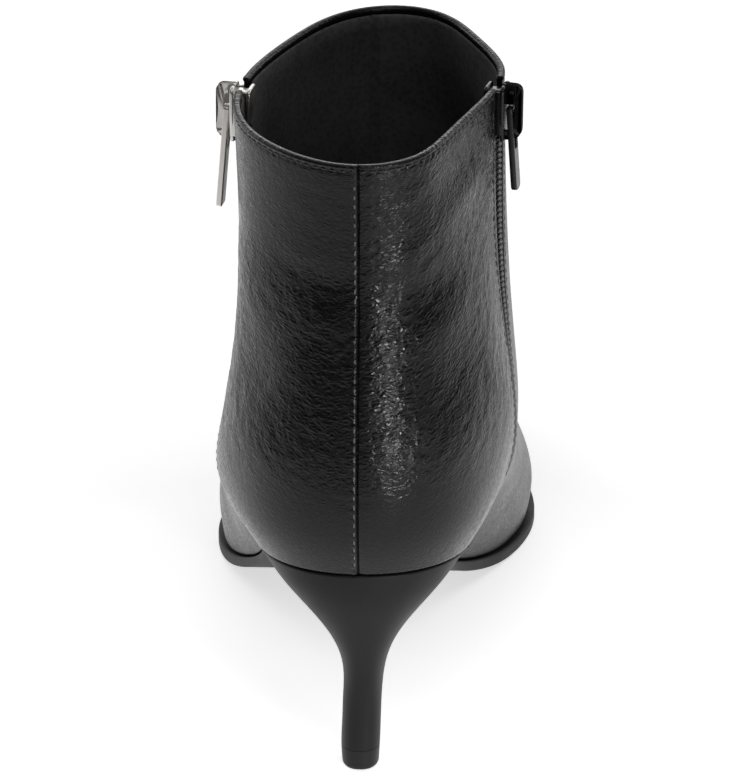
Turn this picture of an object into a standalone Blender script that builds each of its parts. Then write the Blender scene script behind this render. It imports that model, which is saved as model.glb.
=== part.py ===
"""Left ankle boot with a slim heel and a zip on each side, made of separate pieces.

The toe points along +Y, the inner side of the foot faces +X and the floor is z = 0. Sizes and tables
are in millimetres from the back of the boot; make_piece() scales each mesh to metres and sets the boot
over the origin.
"""

import math

import bmesh
import bpy
import numpy as np
from mathutils import Matrix, Vector

MM = 0.001
ORIGIN_X = -1.9
ORIGIN_Y = 128.1

GAP = 0.3
WALL = 2.0

# Underside of the upper along the foot: seat, waist, tread and toe spring.
BOTTOM_COLUMNS = ("y", "z")
BOTTOM_ROWS = (
    (0.0, 55.8),
    (5.0, 55.4),
    (25.0, 53.2),
    (45.0, 48.2),
    (65.0, 38.8),
    (85.0, 26.6),
    (105.0, 15.6),
    (122.0, 8.4),
    (138.0, 4.4),
    (150.0, 3.6),
    (165.0, 3.5),
    (182.0, 3.5),
    (205.0, 4.6),
    (230.0, 6.9),
    (260.0, 10.6),
)

# The upper, one row for each level from the sole up to the collar. Widths are measured from the middle
# line to the outer (out) and inner (in) side at four stations from the back seam to the front line.
STATIONS = (0.0, 0.16, 0.40, 0.62, 0.84, 1.0)
STATION_NAMES = ("heel", "waist", "ball", "toe")
UPPER_COLUMNS = (
    "level", "back_y", "back_z", "front_x", "front_y", "front_z", "back_radius", "front_radius",
    "heel_out", "heel_in", "waist_out", "waist_in", "ball_out", "ball_in", "toe_out", "toe_in",
)
UPPER_ROWS = (
    (0.00, 5.0, 55.4, 3.0, 253.0, 9.7, 25.0, 8.0, 26.3, 25.3, 32.0, 19.5, 43.4, 36.5, 24.0, 26.0),
    (0.14, 1.0, 65.5, 3.0, 255.5, 17.0, 27.0, 9.0, 33.0, 30.8, 37.0, 27.5, 43.8, 38.3, 24.4, 26.2),
    (0.28, 0.0, 78.0, 3.5, 238.0, 28.0, 27.0, 9.5, 35.2, 33.6, 38.0, 33.5, 41.0, 36.0, 23.4, 25.2),
    (0.42, 1.5, 92.0, 4.0, 203.0, 39.0, 26.0, 11.0, 33.2, 33.2, 36.0, 35.6, 37.0, 34.0, 22.8, 24.8),
    (0.56, 4.5, 106.5, 4.5, 166.0, 57.0, 24.0, 13.5, 30.2, 30.5, 33.0, 35.4, 32.8, 33.8, 22.3, 24.0),
    (0.70, 7.5, 121.5, 5.0, 135.5, 85.0, 22.0, 16.0, 27.4, 26.2, 31.4, 33.2, 30.4, 32.4, 21.8, 23.5),
    (0.85, 8.0, 139.0, 5.2, 112.5, 122.0, 21.0, 18.0, 25.3, 22.0, 31.0, 30.2, 29.5, 31.0, 21.0, 22.0),
    (1.00, 6.0, 157.8, 5.2, 98.0, 167.7, 20.0, 19.0, 24.2, 19.0, 31.8, 27.6, 28.8, 30.4, 20.2, 20.6),
)
SAG_FADE = 1.2
UPPER_RINGS = 25
BACK_COLUMNS = 10
FRONT_COLUMNS = 20

# Zip slots: distance from the back at the collar, for the outer (-1) and inner (1) side, and at the sole.
ZIP_TOP_Y = {-1: 50.5, 1: 53.0}
ZIP_FOOT_Y = 60.0
ZIP_END_LEVEL = 0.22
SLOT_WIDTH = 7.0
CHAIN_SECTIONS = 14
TAPE_OUTER = -0.7
TAPE_INNER = -1.5
TEETH_HALF_WIDTH = 1.9
TEETH_OUTER = 0.3

# Slider and pull, measured up the zip and outward from the leather at the collar edge.
SLIDER_TOP = -0.2
PIVOT_DROP = 6.2
PLATE_LENGTH = 14.0
PLATE_WIDTH = 7.0
PLATE_INNER = 0.6
PLATE_OUTER = 1.6
BACK_PLATE_LENGTH = 9.5
BACK_PLATE_WIDTH = 6.4
BACK_PLATE_THICKNESS = 1.0
BACK_PLATE_GAP = 0.45
POST_WIDTH = 3.4
POST_HEIGHT = 3.0
BRIDGE_WIDTH = 1.6
BRIDGE_OUTER = 5.1
BRIDGE_THICKNESS = 1.1
PULL_THICKNESS = 1.5
PULL_WIDTH = 4.2
PULL_EYE_WIDTH = 2.4
PULL_EYE_START = 0.35
PULL_EYE_END = 10.0
PULL_TILT = math.radians(4.5)

ZIP_COLUMNS = ("side_name", "side", "pull_length", "end_round", "metal")
ZIP_ROWS = (
    ("lateral", -1, 25.2, 0.8, "bright_metal"),
    ("medial", 1, 20.5, 1.8, "black_metal"),
)

# Sole: how far its edge stands out past the upper and how thick it is, along the foot.
SOLE_COLUMNS = ("y", "edge", "thickness")
SOLE_ROWS = (
    (40.0, 0.0, 2.4),
    (60.0, 0.1, 2.4),
    (90.0, 0.5, 2.6),
    (120.0, 1.2, 3.0),
    (145.0, 1.5, 3.2),
    (170.0, 2.1, 3.2),
    (200.0, 2.1, 3.2),
    (260.0, 1.8, 3.2),
)
SOLE_STATIONS = 44
INSOLE_THICKNESS = 2.0
INSOLE_INSET = 3.2
INSOLE_STATIONS = 38
INSOLE_START_Y = 11.5

# Heel: back and breast lines and half width at each height; the top row follows the seat.
BREAST_Y = 44.0
HEEL_INSET = 0.3
HEEL_COLUMNS = ("z", "middle_x", "half_width", "back_y", "front_y")
HEEL_ROWS = (
    (0.0, 0.0, 4.4, 13.0, 24.2),
    (5.2, 0.0, 4.7, 13.2, 24.4),
    (11.4, 0.2, 4.7, 13.4, 24.8),
    (17.5, 0.4, 4.7, 13.4, 25.4),
    (23.5, 0.7, 4.9, 12.8, 26.6),
    (29.5, 0.8, 6.2, 11.6, 28.8),
    (35.4, 0.7, 9.5, 9.8, 32.2),
    (41.0, 0.5, 14.9, 7.8, 37.0),
    (46.4, 0.2, 20.8, 6.0, 41.5),
    (52.0, 0.0, 25.4, 5.3, 44.0),
)
HEEL_RINGS = 16
HEEL_COLUMNS_ROUND = 28
TIP_HEIGHT = 5.0
TIP_EDGE = 0.7


def table(columns, rows):
    """Named columns of a table, as arrays."""
    return dict(zip(columns, np.array(rows, float).T))


BOTTOM = table(BOTTOM_COLUMNS, BOTTOM_ROWS)
UPPER = table(UPPER_COLUMNS, UPPER_ROWS)
SOLE = table(SOLE_COLUMNS, SOLE_ROWS)
HEEL = table(HEEL_COLUMNS, HEEL_ROWS)


def through(stations, values, at):
    """Natural cubic curve through the points (stations, values), read at the places in `at`."""
    stations = np.asarray(stations, float)
    values = np.asarray(values, float)
    step = np.diff(stations)
    bend = np.zeros(len(stations))
    system = np.diag(2 * (step[:-1] + step[1:])) + np.diag(step[1:-1], 1) + np.diag(step[1:-1], -1)
    bend[1:-1] = np.linalg.solve(system, 6 * np.diff(np.diff(values) / step))
    at = np.clip(at, stations[0], stations[-1])
    i = np.clip(np.searchsorted(stations, at, side="right") - 1, 0, len(step) - 1)
    left = at - stations[i]
    right = stations[i + 1] - at
    curve = (bend[i] * right**3 + bend[i + 1] * left**3) / (6 * step[i])
    curve += (values[i] / step[i] - bend[i] * step[i] / 6) * right
    return curve + (values[i + 1] / step[i] - bend[i + 1] * step[i] / 6) * left


def bottom_z(y):
    """Height of the underside of the upper at distance y from the back."""
    return through(BOTTOM["y"], BOTTOM["z"], y)


def level(name, v):
    """One column of the upper's table at level v, 0 at the sole and 1 at the collar."""
    return through(UPPER["level"], UPPER[name], v)


def half_width(v, t, side):
    """Width from the middle line at level v, a share t of the way from back to front."""
    suffix = "_in" if side > 0 else "_out"
    length = level("front_y", v) - level("back_y", v)
    controls = [np.sqrt(level("back_radius", v) * length / 2)]
    for station, name in zip(STATIONS[1:-1], STATION_NAMES):
        controls.append(level(name + suffix, v) / (2 * math.sqrt(station * (1 - station))))
    controls.append(np.sqrt(level("front_radius", v) * length / 2))
    fullness = 0.0
    for k, control in enumerate(controls):
        fullness = fullness + control * through(STATIONS, np.eye(len(STATIONS))[k], t)
    return 2 * np.sqrt(t * (1 - t)) * fullness


def upper_point(v, phi, side):
    """Point of the upper's outer face: level v, turned phi from the back seam (0) to the front (pi)."""
    v, phi = np.broadcast_arrays(np.asarray(v, float), np.asarray(phi, float))
    t = (1 - np.cos(phi)) / 2
    back_y, back_z = level("back_y", v), level("back_z", v)
    front_y, front_z = level("front_y", v), level("front_z", v)
    sole_y = UPPER["back_y"][0] + (UPPER["front_y"][0] - UPPER["back_y"][0]) * t
    chord_z = UPPER["back_z"][0] + (UPPER["front_z"][0] - UPPER["back_z"][0]) * t
    sag = (bottom_z(sole_y) - chord_z) * (1 - v) ** SAG_FADE
    x = level("front_x", v) * t**2 + side * half_width(v, t, side)
    y = back_y + (front_y - back_y) * t
    z = back_z + (front_z - back_z) * t + sag
    return np.stack([x, y, z], axis=-1)


def zip_phi(v, side):
    """Turn at which the middle of a zip crosses level v."""
    y = ZIP_FOOT_Y + (ZIP_TOP_Y[side] - ZIP_FOOT_Y) * v
    t = (y - level("back_y", v)) / (level("front_y", v) - level("back_y", v))
    return np.arccos(1 - 2 * t)


def slot_phi(v, side, offset):
    """Turn at level v of the line that runs beside the zip's middle line, offset to the front."""
    middle = zip_phi(v, side)
    step = 0.01
    along = upper_point(v, middle + step, side) - upper_point(v, middle - step, side)
    square = np.abs((along * zip_frame(v, side)[1]).sum(axis=-1)) / (2 * step)
    return middle + offset / square


def zip_frame(v, side):
    """Place on the zip's middle line with its across, upward and outward directions."""
    phi = zip_phi(v, side)
    step = 0.005
    place = upper_point(v, phi, side)
    low, high = np.maximum(v - step, 0.0), np.minimum(v + step, 1.0)
    up = upper_point(high, zip_phi(high, side), side) - upper_point(low, zip_phi(low, side), side)
    across = upper_point(v, phi + step, side) - upper_point(v, phi - step, side)
    up = up / np.linalg.norm(up, axis=-1, keepdims=True)
    outward = np.cross(up, across) * -side
    outward = outward / np.linalg.norm(outward, axis=-1, keepdims=True)
    across = np.cross(up, outward)
    return place, across, up, outward


def material(name, color, metallic, roughness):
    """Principled material of one piece."""
    made = bpy.data.materials.new(name)
    made.use_nodes = True
    shader = made.node_tree.nodes["Principled BSDF"]
    shader.inputs["Base Color"].default_value = (*color, 1.0)
    shader.inputs["Metallic"].default_value = metallic
    shader.inputs["Roughness"].default_value = roughness
    return made


def make_piece(name, points, faces, finish):
    """Object from points in millimetres, set over the origin in metres."""
    places = (np.asarray(points, float) - (ORIGIN_X, ORIGIN_Y, 0.0)) * MM
    mesh = bpy.data.meshes.new(name)
    mesh.from_pydata(places.tolist(), [], faces)
    piece = bpy.data.objects.new(name, mesh)
    bpy.context.scene.collection.objects.link(piece)
    mesh.materials.append(finish)
    return piece


def face_outward(piece):
    """Turn every face of a closed piece outward."""
    work = bmesh.new()
    work.from_mesh(piece.data)
    bmesh.ops.recalc_face_normals(work, faces=work.faces)
    work.to_mesh(piece.data)
    work.free()


def loft_faces(rings, columns):
    """Quads between closed rings of points, with both end rings filled."""
    faces = [tuple(range(columns)), tuple(range((rings - 1) * columns, rings * columns))]
    for i in range(rings - 1):
        for j in range(columns):
            k = (j + 1) % columns
            faces.append((i * columns + j, i * columns + k, (i + 1) * columns + k, (i + 1) * columns + j))
    return faces


def upper_levels():
    """Levels of the upper's rings, closer together at the sole, with one at the foot of the zips."""
    levels = np.linspace(0.0, 1.0, UPPER_RINGS) ** 1.15
    levels[np.argmin(np.abs(levels - ZIP_END_LEVEL))] = ZIP_END_LEVEL
    return levels


def build_upper(finish):
    """Shell of the boot: rings from the sole to the collar, open along both zips, given a wall inward."""
    levels = upper_levels()
    sides = {}
    for side in (-1, 1):
        back = slot_phi(levels, side, -SLOT_WIDTH / 2)
        front = slot_phi(levels, side, SLOT_WIDTH / 2)
        turns = [np.linspace(np.zeros_like(back), back, BACK_COLUMNS + 1, axis=1)]
        turns.append(np.linspace(front, np.full_like(front, np.pi), FRONT_COLUMNS + 1, axis=1))
        sides[side] = upper_point(levels[:, None], np.concatenate(turns, axis=1), side)
    rings = np.concatenate([sides[-1], sides[1][:, -2:0:-1]], axis=1)
    columns = rings.shape[1]
    open_columns = (BACK_COLUMNS, columns - BACK_COLUMNS - 1)
    faces = []
    for i in range(UPPER_RINGS - 1):
        for j in range(columns):
            if levels[i] >= ZIP_END_LEVEL and j in open_columns:
                continue
            k = (j + 1) % columns
            faces.append((i * columns + j, (i + 1) * columns + j, (i + 1) * columns + k, i * columns + k))
    upper = make_piece("upper", rings.reshape(-1, 3), faces, finish)
    wall = upper.modifiers.new("wall", "SOLIDIFY")
    wall.thickness = WALL * MM
    wall.offset = -1.0
    wall.use_even_offset = True
    wall.use_quality_normals = True
    return upper


def sole_outline(stations, start_y, inset):
    """Outer and inner edge of the foot from start_y to the toe, moved outward by -inset(y)."""
    first, last = UPPER["back_y"][0], UPPER["front_y"][0]
    start = math.acos(1 - 2 * (start_y - first) / (last - first))
    turns = np.linspace(start, math.pi, stations)
    edges = []
    for side in (-1, 1):
        step = 0.004
        points = upper_point(0.0, turns, side)
        ahead = upper_point(0.0, np.minimum(turns + step, math.pi), side)
        behind = upper_point(0.0, turns - step, side)
        along = (ahead - behind)[:, :2]
        outward = np.stack([along[:, 1], -along[:, 0]], axis=1) * side
        outward /= np.linalg.norm(outward, axis=1, keepdims=True)
        outward[-1] = (0.0, 1.0)
        outward[0] = (side, 0.0)
        edges.append(points[:, :2] - outward * inset(points[:, 1])[:, None])
    return edges


def build_sheet(name, edges, top, bottom, finish):
    """Sheet between two edges that meet at the toe, from the height bottom(y) to top(y)."""
    outer, inner = edges
    outline = np.concatenate([outer, inner[-2::-1]])
    count = len(outline)
    points = []
    for height in (bottom, top):
        points.append(np.column_stack([outline, height(outline[:, 1])]))
    faces = []
    for j in range(count):
        k = (j + 1) % count
        faces.append((j, k, count + k, count + j))
    for base in (0, count):
        for j in range(len(outer) - 2):
            k = count - 1 - j
            faces.append((base + j, base + j + 1, base + k - 1, base + k))
        faces.append((base + len(outer) - 2, base + len(outer) - 1, base + len(outer)))
    sheet = make_piece(name, np.concatenate(points), faces, finish)
    face_outward(sheet)
    return sheet


def build_outsole(finish):
    """Sole from the heel breast to the toe, flat on the floor under the tread."""
    edges = sole_outline(SOLE_STATIONS, BREAST_Y + GAP, lambda y: -through(SOLE["y"], SOLE["edge"], y))

    def top(y):
        return bottom_z(y) - GAP

    def bottom(y):
        return np.maximum(top(y) - through(SOLE["y"], SOLE["thickness"], y), 0.0)

    return build_sheet("outsole", edges, top, bottom, finish)


def build_insole(finish):
    """Board inside the upper from the seat to the toe."""
    edges = sole_outline(INSOLE_STATIONS, INSOLE_START_Y, lambda y: np.full_like(y, INSOLE_INSET))
    return build_sheet("insole", edges, lambda y: bottom_z(y) + INSOLE_THICKNESS, bottom_z, finish)


def heel_rings(heights, columns):
    """Rings of the heel: a seat outline at the top that runs into a rounded stem."""
    half = columns // 2
    share = np.linspace(0.0, 1.0, half + 1)
    split = 0.72
    along = np.minimum(share / split, 1.0)
    inward = np.maximum((share - split) / (1 - split), 0.0)
    seat_y = UPPER["back_y"][0] + HEEL_INSET + (BREAST_Y - UPPER["back_y"][0] - HEEL_INSET) * along**1.7
    seat_t = (seat_y - HEEL_INSET - UPPER["back_y"][0]) / (UPPER["front_y"][0] - UPPER["back_y"][0])
    turn = math.pi * share
    stem_across = np.sin(turn) ** 0.85
    stem_along = (1 - np.cos(turn)) / 2
    top_z = HEEL["z"][-1]
    sides = {}
    for side in (-1, 1):
        seat_x = (half_width(0.0, np.maximum(seat_t, 0.0), side) - HEEL_INSET * np.minimum(along * 3, 1.0))
        seat_x = np.maximum(seat_x, 0.0) * (1 - inward)
        rows = []
        for z in heights:
            blend = np.clip((z - HEEL["z"][3]) / (top_z - HEEL["z"][3]), 0.0, 1.0) ** 1.5
            across = (1 - blend) * stem_across + blend * seat_x / HEEL["half_width"][-1]
            forward = (seat_y - seat_y[0]) / (seat_y[-1] - seat_y[0])
            forward = (1 - blend) * stem_along + blend * forward
            back = through(HEEL["z"], HEEL["back_y"], z)
            front = through(HEEL["z"], HEEL["front_y"], z)
            y = back + (front - back) * forward
            rise = np.clip((z - 0.55 * top_z) / (0.45 * top_z), 0.0, 1.0) ** 2
            lift = (bottom_z(y) - GAP - top_z) * rise
            middle = through(HEEL["z"], HEEL["middle_x"], z)
            x = middle + side * across * through(HEEL["z"], HEEL["half_width"], z)
            rows.append(np.column_stack([x, y, z + lift]))
        sides[side] = np.array(rows)
    return np.concatenate([sides[-1], sides[1][:, -2:0:-1]], axis=1)


def build_heel(finish):
    """Covered heel from the seat down to the tip."""
    low = TIP_HEIGHT + GAP
    heights = low + (HEEL["z"][-1] - low) * np.linspace(0.0, 1.0, HEEL_RINGS)
    rings = heel_rings(heights, HEEL_COLUMNS_ROUND)
    heel = make_piece("heel", rings.reshape(-1, 3), loft_faces(*rings.shape[:2]), finish)
    face_outward(heel)
    return heel


def build_heel_tip(finish):
    """Top piece under the stem with a small edge round its flat underside."""
    rings = heel_rings(np.array([0.0, TIP_EDGE, TIP_HEIGHT]), HEEL_COLUMNS_ROUND)
    middle = rings[0].mean(axis=0)
    reach = rings[0] - middle
    rings[0] = middle + reach * (1 - TIP_EDGE / np.linalg.norm(reach, axis=1, keepdims=True))
    tip = make_piece("heel_tip", rings.reshape(-1, 3), loft_faces(*rings.shape[:2]), finish)
    face_outward(tip)
    return tip


def build_chain(name, side, finish):
    """Tape and teeth of a closed zip, swept up the middle of its slot."""
    half_tape = SLOT_WIDTH / 2 - GAP
    section = (
        (-half_tape, TAPE_INNER),
        (half_tape, TAPE_INNER),
        (half_tape, TAPE_OUTER),
        (TEETH_HALF_WIDTH, TAPE_OUTER),
        (TEETH_HALF_WIDTH, TEETH_OUTER),
        (-TEETH_HALF_WIDTH, TEETH_OUTER),
        (-TEETH_HALF_WIDTH, TAPE_OUTER),
        (-half_tape, TAPE_OUTER),
    )
    length = zip_length(side)
    low = ZIP_END_LEVEL + 2 * GAP / length
    high = 1.0 - (POST_HEIGHT - SLIDER_TOP + 2 * GAP) / length
    levels = np.linspace(low, high, CHAIN_SECTIONS)
    outward = zip_frame(levels, side)[3]
    lines = []
    for offset, depth in section:
        lines.append(upper_point(levels, slot_phi(levels, side, offset), side) + outward * depth)
    rings = np.stack(lines, axis=1)
    chain = make_piece(name, rings.reshape(-1, 3), loft_faces(CHAIN_SECTIONS, len(section)), finish)
    face_outward(chain)
    return chain


def zip_length(side):
    """Length of one unit of level along the zip near the collar."""
    place = zip_frame(np.array([0.9, 1.0]), side)[0]
    return float(np.linalg.norm(place[1] - place[0]) / 0.1)


def local_piece(name, frame, outlines, finish):
    """Prisms in a zip's own frame, joined into one piece. An outline is (plane, points, low, high)."""
    place, across, up, outward = frame
    base = None
    for plane, points, low, high in outlines:
        corners = []
        for depth in (low, high):
            for first, second in points:
                a, u, n = (first, second, depth) if plane == "face" else (depth, first, second)
                corners.append(place + across * a + up * u + outward * n)
        prism = make_piece(name, corners, loft_faces(2, len(points)), finish)
        face_outward(prism)
        if base is None:
            base = prism
            continue
        join_into(base, prism)
    return base


def join_into(base, tool, operation="UNION"):
    """Combine a tool piece with a base piece and remove the tool."""
    cut = base.modifiers.new("join", "BOOLEAN")
    cut.operation = operation
    cut.solver = "EXACT"
    cut.object = tool
    graph = bpy.context.evaluated_depsgraph_get()
    joined = bpy.data.meshes.new_from_object(base.evaluated_get(graph))
    base.modifiers.remove(cut)
    base.data = joined
    bpy.data.objects.remove(tool)


def rectangle(low_a, high_a, low_b, high_b):
    """Corners of a rectangle."""
    return ((low_a, low_b), (high_a, low_b), (high_a, high_b), (low_a, high_b))


def build_slider(name, side, finish):
    """Slider with a front plate, a back plate inside the boot, the post between them and the bridge."""
    frame = zip_frame(np.array(1.0), side)
    pivot = -PIVOT_DROP
    half = PLATE_WIDTH / 2
    low = SLIDER_TOP - PLATE_LENGTH
    plate = (
        (-half, SLIDER_TOP - 1.0),
        (-half + 1.0, SLIDER_TOP),
        (half - 1.0, SLIDER_TOP),
        (half, SLIDER_TOP - 1.0),
        (half - 0.6, low + 1.0),
        (half - 1.6, low),
        (-half + 1.6, low),
        (-half + 0.6, low + 1.0),
    )
    back_low = -(WALL + BACK_PLATE_GAP + BACK_PLATE_THICKNESS)
    back_high = -(WALL + BACK_PLATE_GAP)
    back_half = BACK_PLATE_WIDTH / 2
    back_plate = rectangle(-back_half, back_half, SLIDER_TOP - BACK_PLATE_LENGTH, SLIDER_TOP)
    post = rectangle(-POST_WIDTH / 2, POST_WIDTH / 2, SLIDER_TOP - POST_HEIGHT, SLIDER_TOP - 0.2)
    root = (PLATE_INNER + PLATE_OUTER) / 2
    under = BRIDGE_OUTER - BRIDGE_THICKNESS
    bridge = (
        (SLIDER_TOP - 0.2, root),
        (SLIDER_TOP - 0.2, BRIDGE_OUTER - 1.3),
        (SLIDER_TOP - 1.5, BRIDGE_OUTER),
        (pivot - 5.6, BRIDGE_OUTER),
        (pivot - 7.3, BRIDGE_OUTER - 1.0),
        (pivot - 7.5, root),
        (pivot - 6.3, root),
        (pivot - 6.2, under - 0.5),
        (pivot - 5.3, under),
        (SLIDER_TOP - 1.9, under),
        (SLIDER_TOP - 1.4, under - 0.5),
        (SLIDER_TOP - 1.4, root),
    )
    outlines = (
        ("face", plate, PLATE_INNER, PLATE_OUTER),
        ("face", post, (back_low + back_high) / 2, root),
        ("face", back_plate, back_low, back_high),
        ("side", bridge, -BRIDGE_WIDTH / 2, BRIDGE_WIDTH / 2),
    )
    return local_piece(name, frame, outlines, finish)


def build_pull(name, side, length, end_round, finish):
    """Pull tab that hangs by the bar of its eye inside the bridge, tilted outward as it rests."""
    place, across, up, outward = zip_frame(np.array(1.0), side)
    lift = PLATE_OUTER + GAP + PULL_THICKNESS / 2
    pivot = place - up * PIVOT_DROP + outward * lift
    down = -up * math.cos(PULL_TILT) + outward * math.sin(PULL_TILT)
    facing = outward * math.cos(PULL_TILT) + up * math.sin(PULL_TILT)
    frame = (pivot, across, -down, facing)
    half = PULL_WIDTH / 2
    thick = PULL_THICKNESS / 2
    beyond = 2 * thick
    turns = np.linspace(0.0, math.pi, 9)
    profile = [(thick * math.sin(turn), thick * math.cos(turn)) for turn in turns]
    profile += [(-length - beyond, -thick), (-length - beyond, thick)]
    pull = local_piece(name, frame, (("side", profile, -half - beyond, half + beyond),), finish)
    outline = [(half, beyond), (-half, beyond)]
    for edge, first in ((-1, math.pi), (1, 1.5 * math.pi)):
        for turn in np.linspace(first, first + math.pi / 2, 5):
            across_at = edge * (half - end_round) + end_round * math.cos(turn)
            outline.append((across_at, end_round - length + end_round * math.sin(turn)))
    join_into(pull, local_piece("outline", frame, (("face", outline, -beyond, beyond),), finish), "INTERSECT")
    eye = rectangle(-PULL_EYE_WIDTH / 2, PULL_EYE_WIDTH / 2, -PULL_EYE_END, -PULL_EYE_START)
    join_into(pull, local_piece("eye", frame, (("face", eye, -beyond, beyond),), finish), "DIFFERENCE")
    centre = Vector((pivot - (ORIGIN_X, ORIGIN_Y, 0.0)) * MM)
    pull.data.transform(Matrix.Translation(-centre))
    pull.location = centre
    return pull


def main():
    """Clear the scene and build every piece."""
    for thing in list(bpy.data.objects):
        bpy.data.objects.remove(thing)
    build_upper(material("upper_leather", (0.022, 0.022, 0.024), 0.0, 0.35))
    build_insole(material("lining_leather", (0.02, 0.02, 0.02), 0.0, 0.7))
    build_outsole(material("sole_rubber", (0.015, 0.015, 0.015), 0.0, 0.6))
    build_heel(material("heel_cover", (0.025, 0.025, 0.026), 0.0, 0.55))
    build_heel_tip(material("tip_rubber", (0.015, 0.015, 0.015), 0.0, 0.6))
    metals = {
        "bright_metal": material("bright_metal", (0.75, 0.75, 0.76), 1.0, 0.2),
        "black_metal": material("black_metal", (0.02, 0.02, 0.02), 0.6, 0.25),
    }
    tape = material("black_textile", (0.012, 0.012, 0.012), 0.0, 0.8)
    for row in ZIP_ROWS:
        sizes = dict(zip(ZIP_COLUMNS, row))
        side_name, side = sizes["side_name"], sizes["side"]
        metal = metals[sizes["metal"]]
        build_chain("zip_chain_" + side_name, side, tape)
        build_slider("zip_slider_" + side_name, side, metal)
        build_pull("zip_pull_" + side_name, side, sizes["pull_length"], sizes["end_round"], metal)


main()
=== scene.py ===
"""Looks of a left ankle boot in black leather with a slim heel and a zip down each side.

Every piece is laid on the same foot form as the solids. Sizes are in millimetres from the back of the boot,
x to the medial side, y to the toe and z up from the floor; put_piece() moves them to the row frame.
"""

import logging
import math
from dataclasses import dataclass
from enum import Enum
from functools import reduce
from typing import Optional, Sequence

import bmesh
import bpy
import numpy as np
from mathutils import Matrix, Vector


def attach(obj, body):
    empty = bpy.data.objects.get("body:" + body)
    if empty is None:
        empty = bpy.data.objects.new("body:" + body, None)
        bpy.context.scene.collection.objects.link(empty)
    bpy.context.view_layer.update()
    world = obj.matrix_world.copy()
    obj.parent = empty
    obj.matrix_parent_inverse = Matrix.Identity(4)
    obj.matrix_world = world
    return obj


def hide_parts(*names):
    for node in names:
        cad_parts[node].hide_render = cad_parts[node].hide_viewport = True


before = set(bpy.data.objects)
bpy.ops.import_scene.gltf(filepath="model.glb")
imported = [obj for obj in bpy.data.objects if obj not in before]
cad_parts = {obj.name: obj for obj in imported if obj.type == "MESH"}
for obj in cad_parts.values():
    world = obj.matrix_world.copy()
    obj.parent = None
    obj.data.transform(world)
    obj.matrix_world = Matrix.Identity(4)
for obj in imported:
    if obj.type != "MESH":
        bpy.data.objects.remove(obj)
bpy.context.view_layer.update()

LOG = logging.getLogger("boot")
Array = np.ndarray
Faces = list[list[int]]
Shape = tuple[Array, Faces]
Run = tuple[Array, Array]
Row = tuple[float, ...]
Span = tuple[float, float]
Place = tuple[float, float, float]
Colour = tuple[float, float, float]
Socket = bpy.types.NodeSocket
Material = bpy.types.Material
Piece = bpy.types.Object

# One millimetre in metres, and the row frame's origin in millimetres from the back of the boot.
MM = 0.001
ORIGIN = np.array([-1.9, 128.1, 0.0])

# Names of the leather's own map and crinkle share, and the millimetres of leather to one unit of the map.
SURFACE_MAP = "surface"
CRINKLE = "crinkle"
MAP_UNIT = 10.0

# Distance in metres at which points are joined, and the range that soft noise usually fills.
WELD = 1e-6
NOISE_RANGE = (0.3, 0.7)


class Side(Enum):
    """Side of the boot, with the sign of its x."""

    LATERAL = -1
    MEDIAL = 1

    @property
    def label(self) -> str:
        """Name of the side in the names of pieces."""
        return self.name.lower()


class Body(Enum):
    """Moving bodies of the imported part."""

    BOOT = "boot"
    PULL_LATERAL = "pull_lateral"
    PULL_MEDIAL = "pull_medial"


class Slot(Enum):
    """Material slots of the record."""

    LEATHER = "upper_leather"
    LINING = "lining_leather"
    SOLE = "sole_rubber"
    HEEL = "heel_cover"
    TIP = "tip_rubber"
    TEXTILE = "black_textile"
    BRIGHT = "bright_metal"
    BLACK = "black_metal"


class Plane(Enum):
    """How a plate of the slider is set: lying on the zip, or standing up from it."""

    FACE = "face"
    SIDE = "side"


def natural_curve(stations: Sequence[float], values: Sequence[float], at: Array) -> Array:
    """Natural cubic curve through points, with no bend at its two ends.

    Args:
        stations: places of the points, rising.
        values: heights of the points.
        at: places to read, held between the first and last station.

    Returns:
        The curve's heights, in the shape of `at`.
    """
    x = np.asarray(stations, float)
    y = np.asarray(values, float)
    step = np.diff(x)
    bend = np.zeros(len(x))
    system = np.diag(2 * (step[:-1] + step[1:])) + np.diag(step[1:-1], 1) + np.diag(step[1:-1], -1)
    bend[1:-1] = np.linalg.solve(system, 6 * np.diff(np.diff(y) / step))
    at = np.clip(at, x[0], x[-1])
    i = np.clip(np.searchsorted(x, at, side="right") - 1, 0, len(step) - 1)
    left = at - x[i]
    right = x[i + 1] - at
    curve = (bend[i] * right**3 + bend[i + 1] * left**3) / (6 * step[i])
    curve = curve + (y[i] / step[i] - bend[i] * step[i] / 6) * right
    return curve + (y[i + 1] / step[i] - bend[i + 1] * step[i] / 6) * left


def smooth_step(low: float, high: float, x: Array) -> Array:
    """Share that rises from 0 at low to 1 at high as 3q^2 - 2q^3."""
    q = np.clip((x - low) / (high - low), 0.0, 1.0)
    return q * q * (3 - 2 * q)


def unit(vectors: Array) -> Array:
    """Vectors of length 1 in the same directions."""
    return vectors / np.maximum(np.linalg.norm(vectors, axis=-1, keepdims=True), 1e-12)


def lattice_noise(x: Array, y: Array, seed: int) -> Array:
    """Soft noise from 0 to 1: values on a whole-number lattice, joined by smooth steps.

    Args:
        x: places along the first direction, one unit to a lattice cell.
        y: places along the second direction.
        seed: start of the fixed row of random lattice values.

    Returns:
        Noise in the shape of x and y.
    """
    size = 128
    lattice = np.random.default_rng(seed).random((size, size))
    i, j = np.floor(x).astype(int), np.floor(y).astype(int)
    a, b = smooth_step(0.0, 1.0, x - i), smooth_step(0.0, 1.0, y - j)
    low = lattice[i % size, j % size] * (1 - a) + lattice[(i + 1) % size, j % size] * a
    high = lattice[i % size, (j + 1) % size] * (1 - a) + lattice[(i + 1) % size, (j + 1) % size] * a
    return low * (1 - b) + high * b


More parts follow.
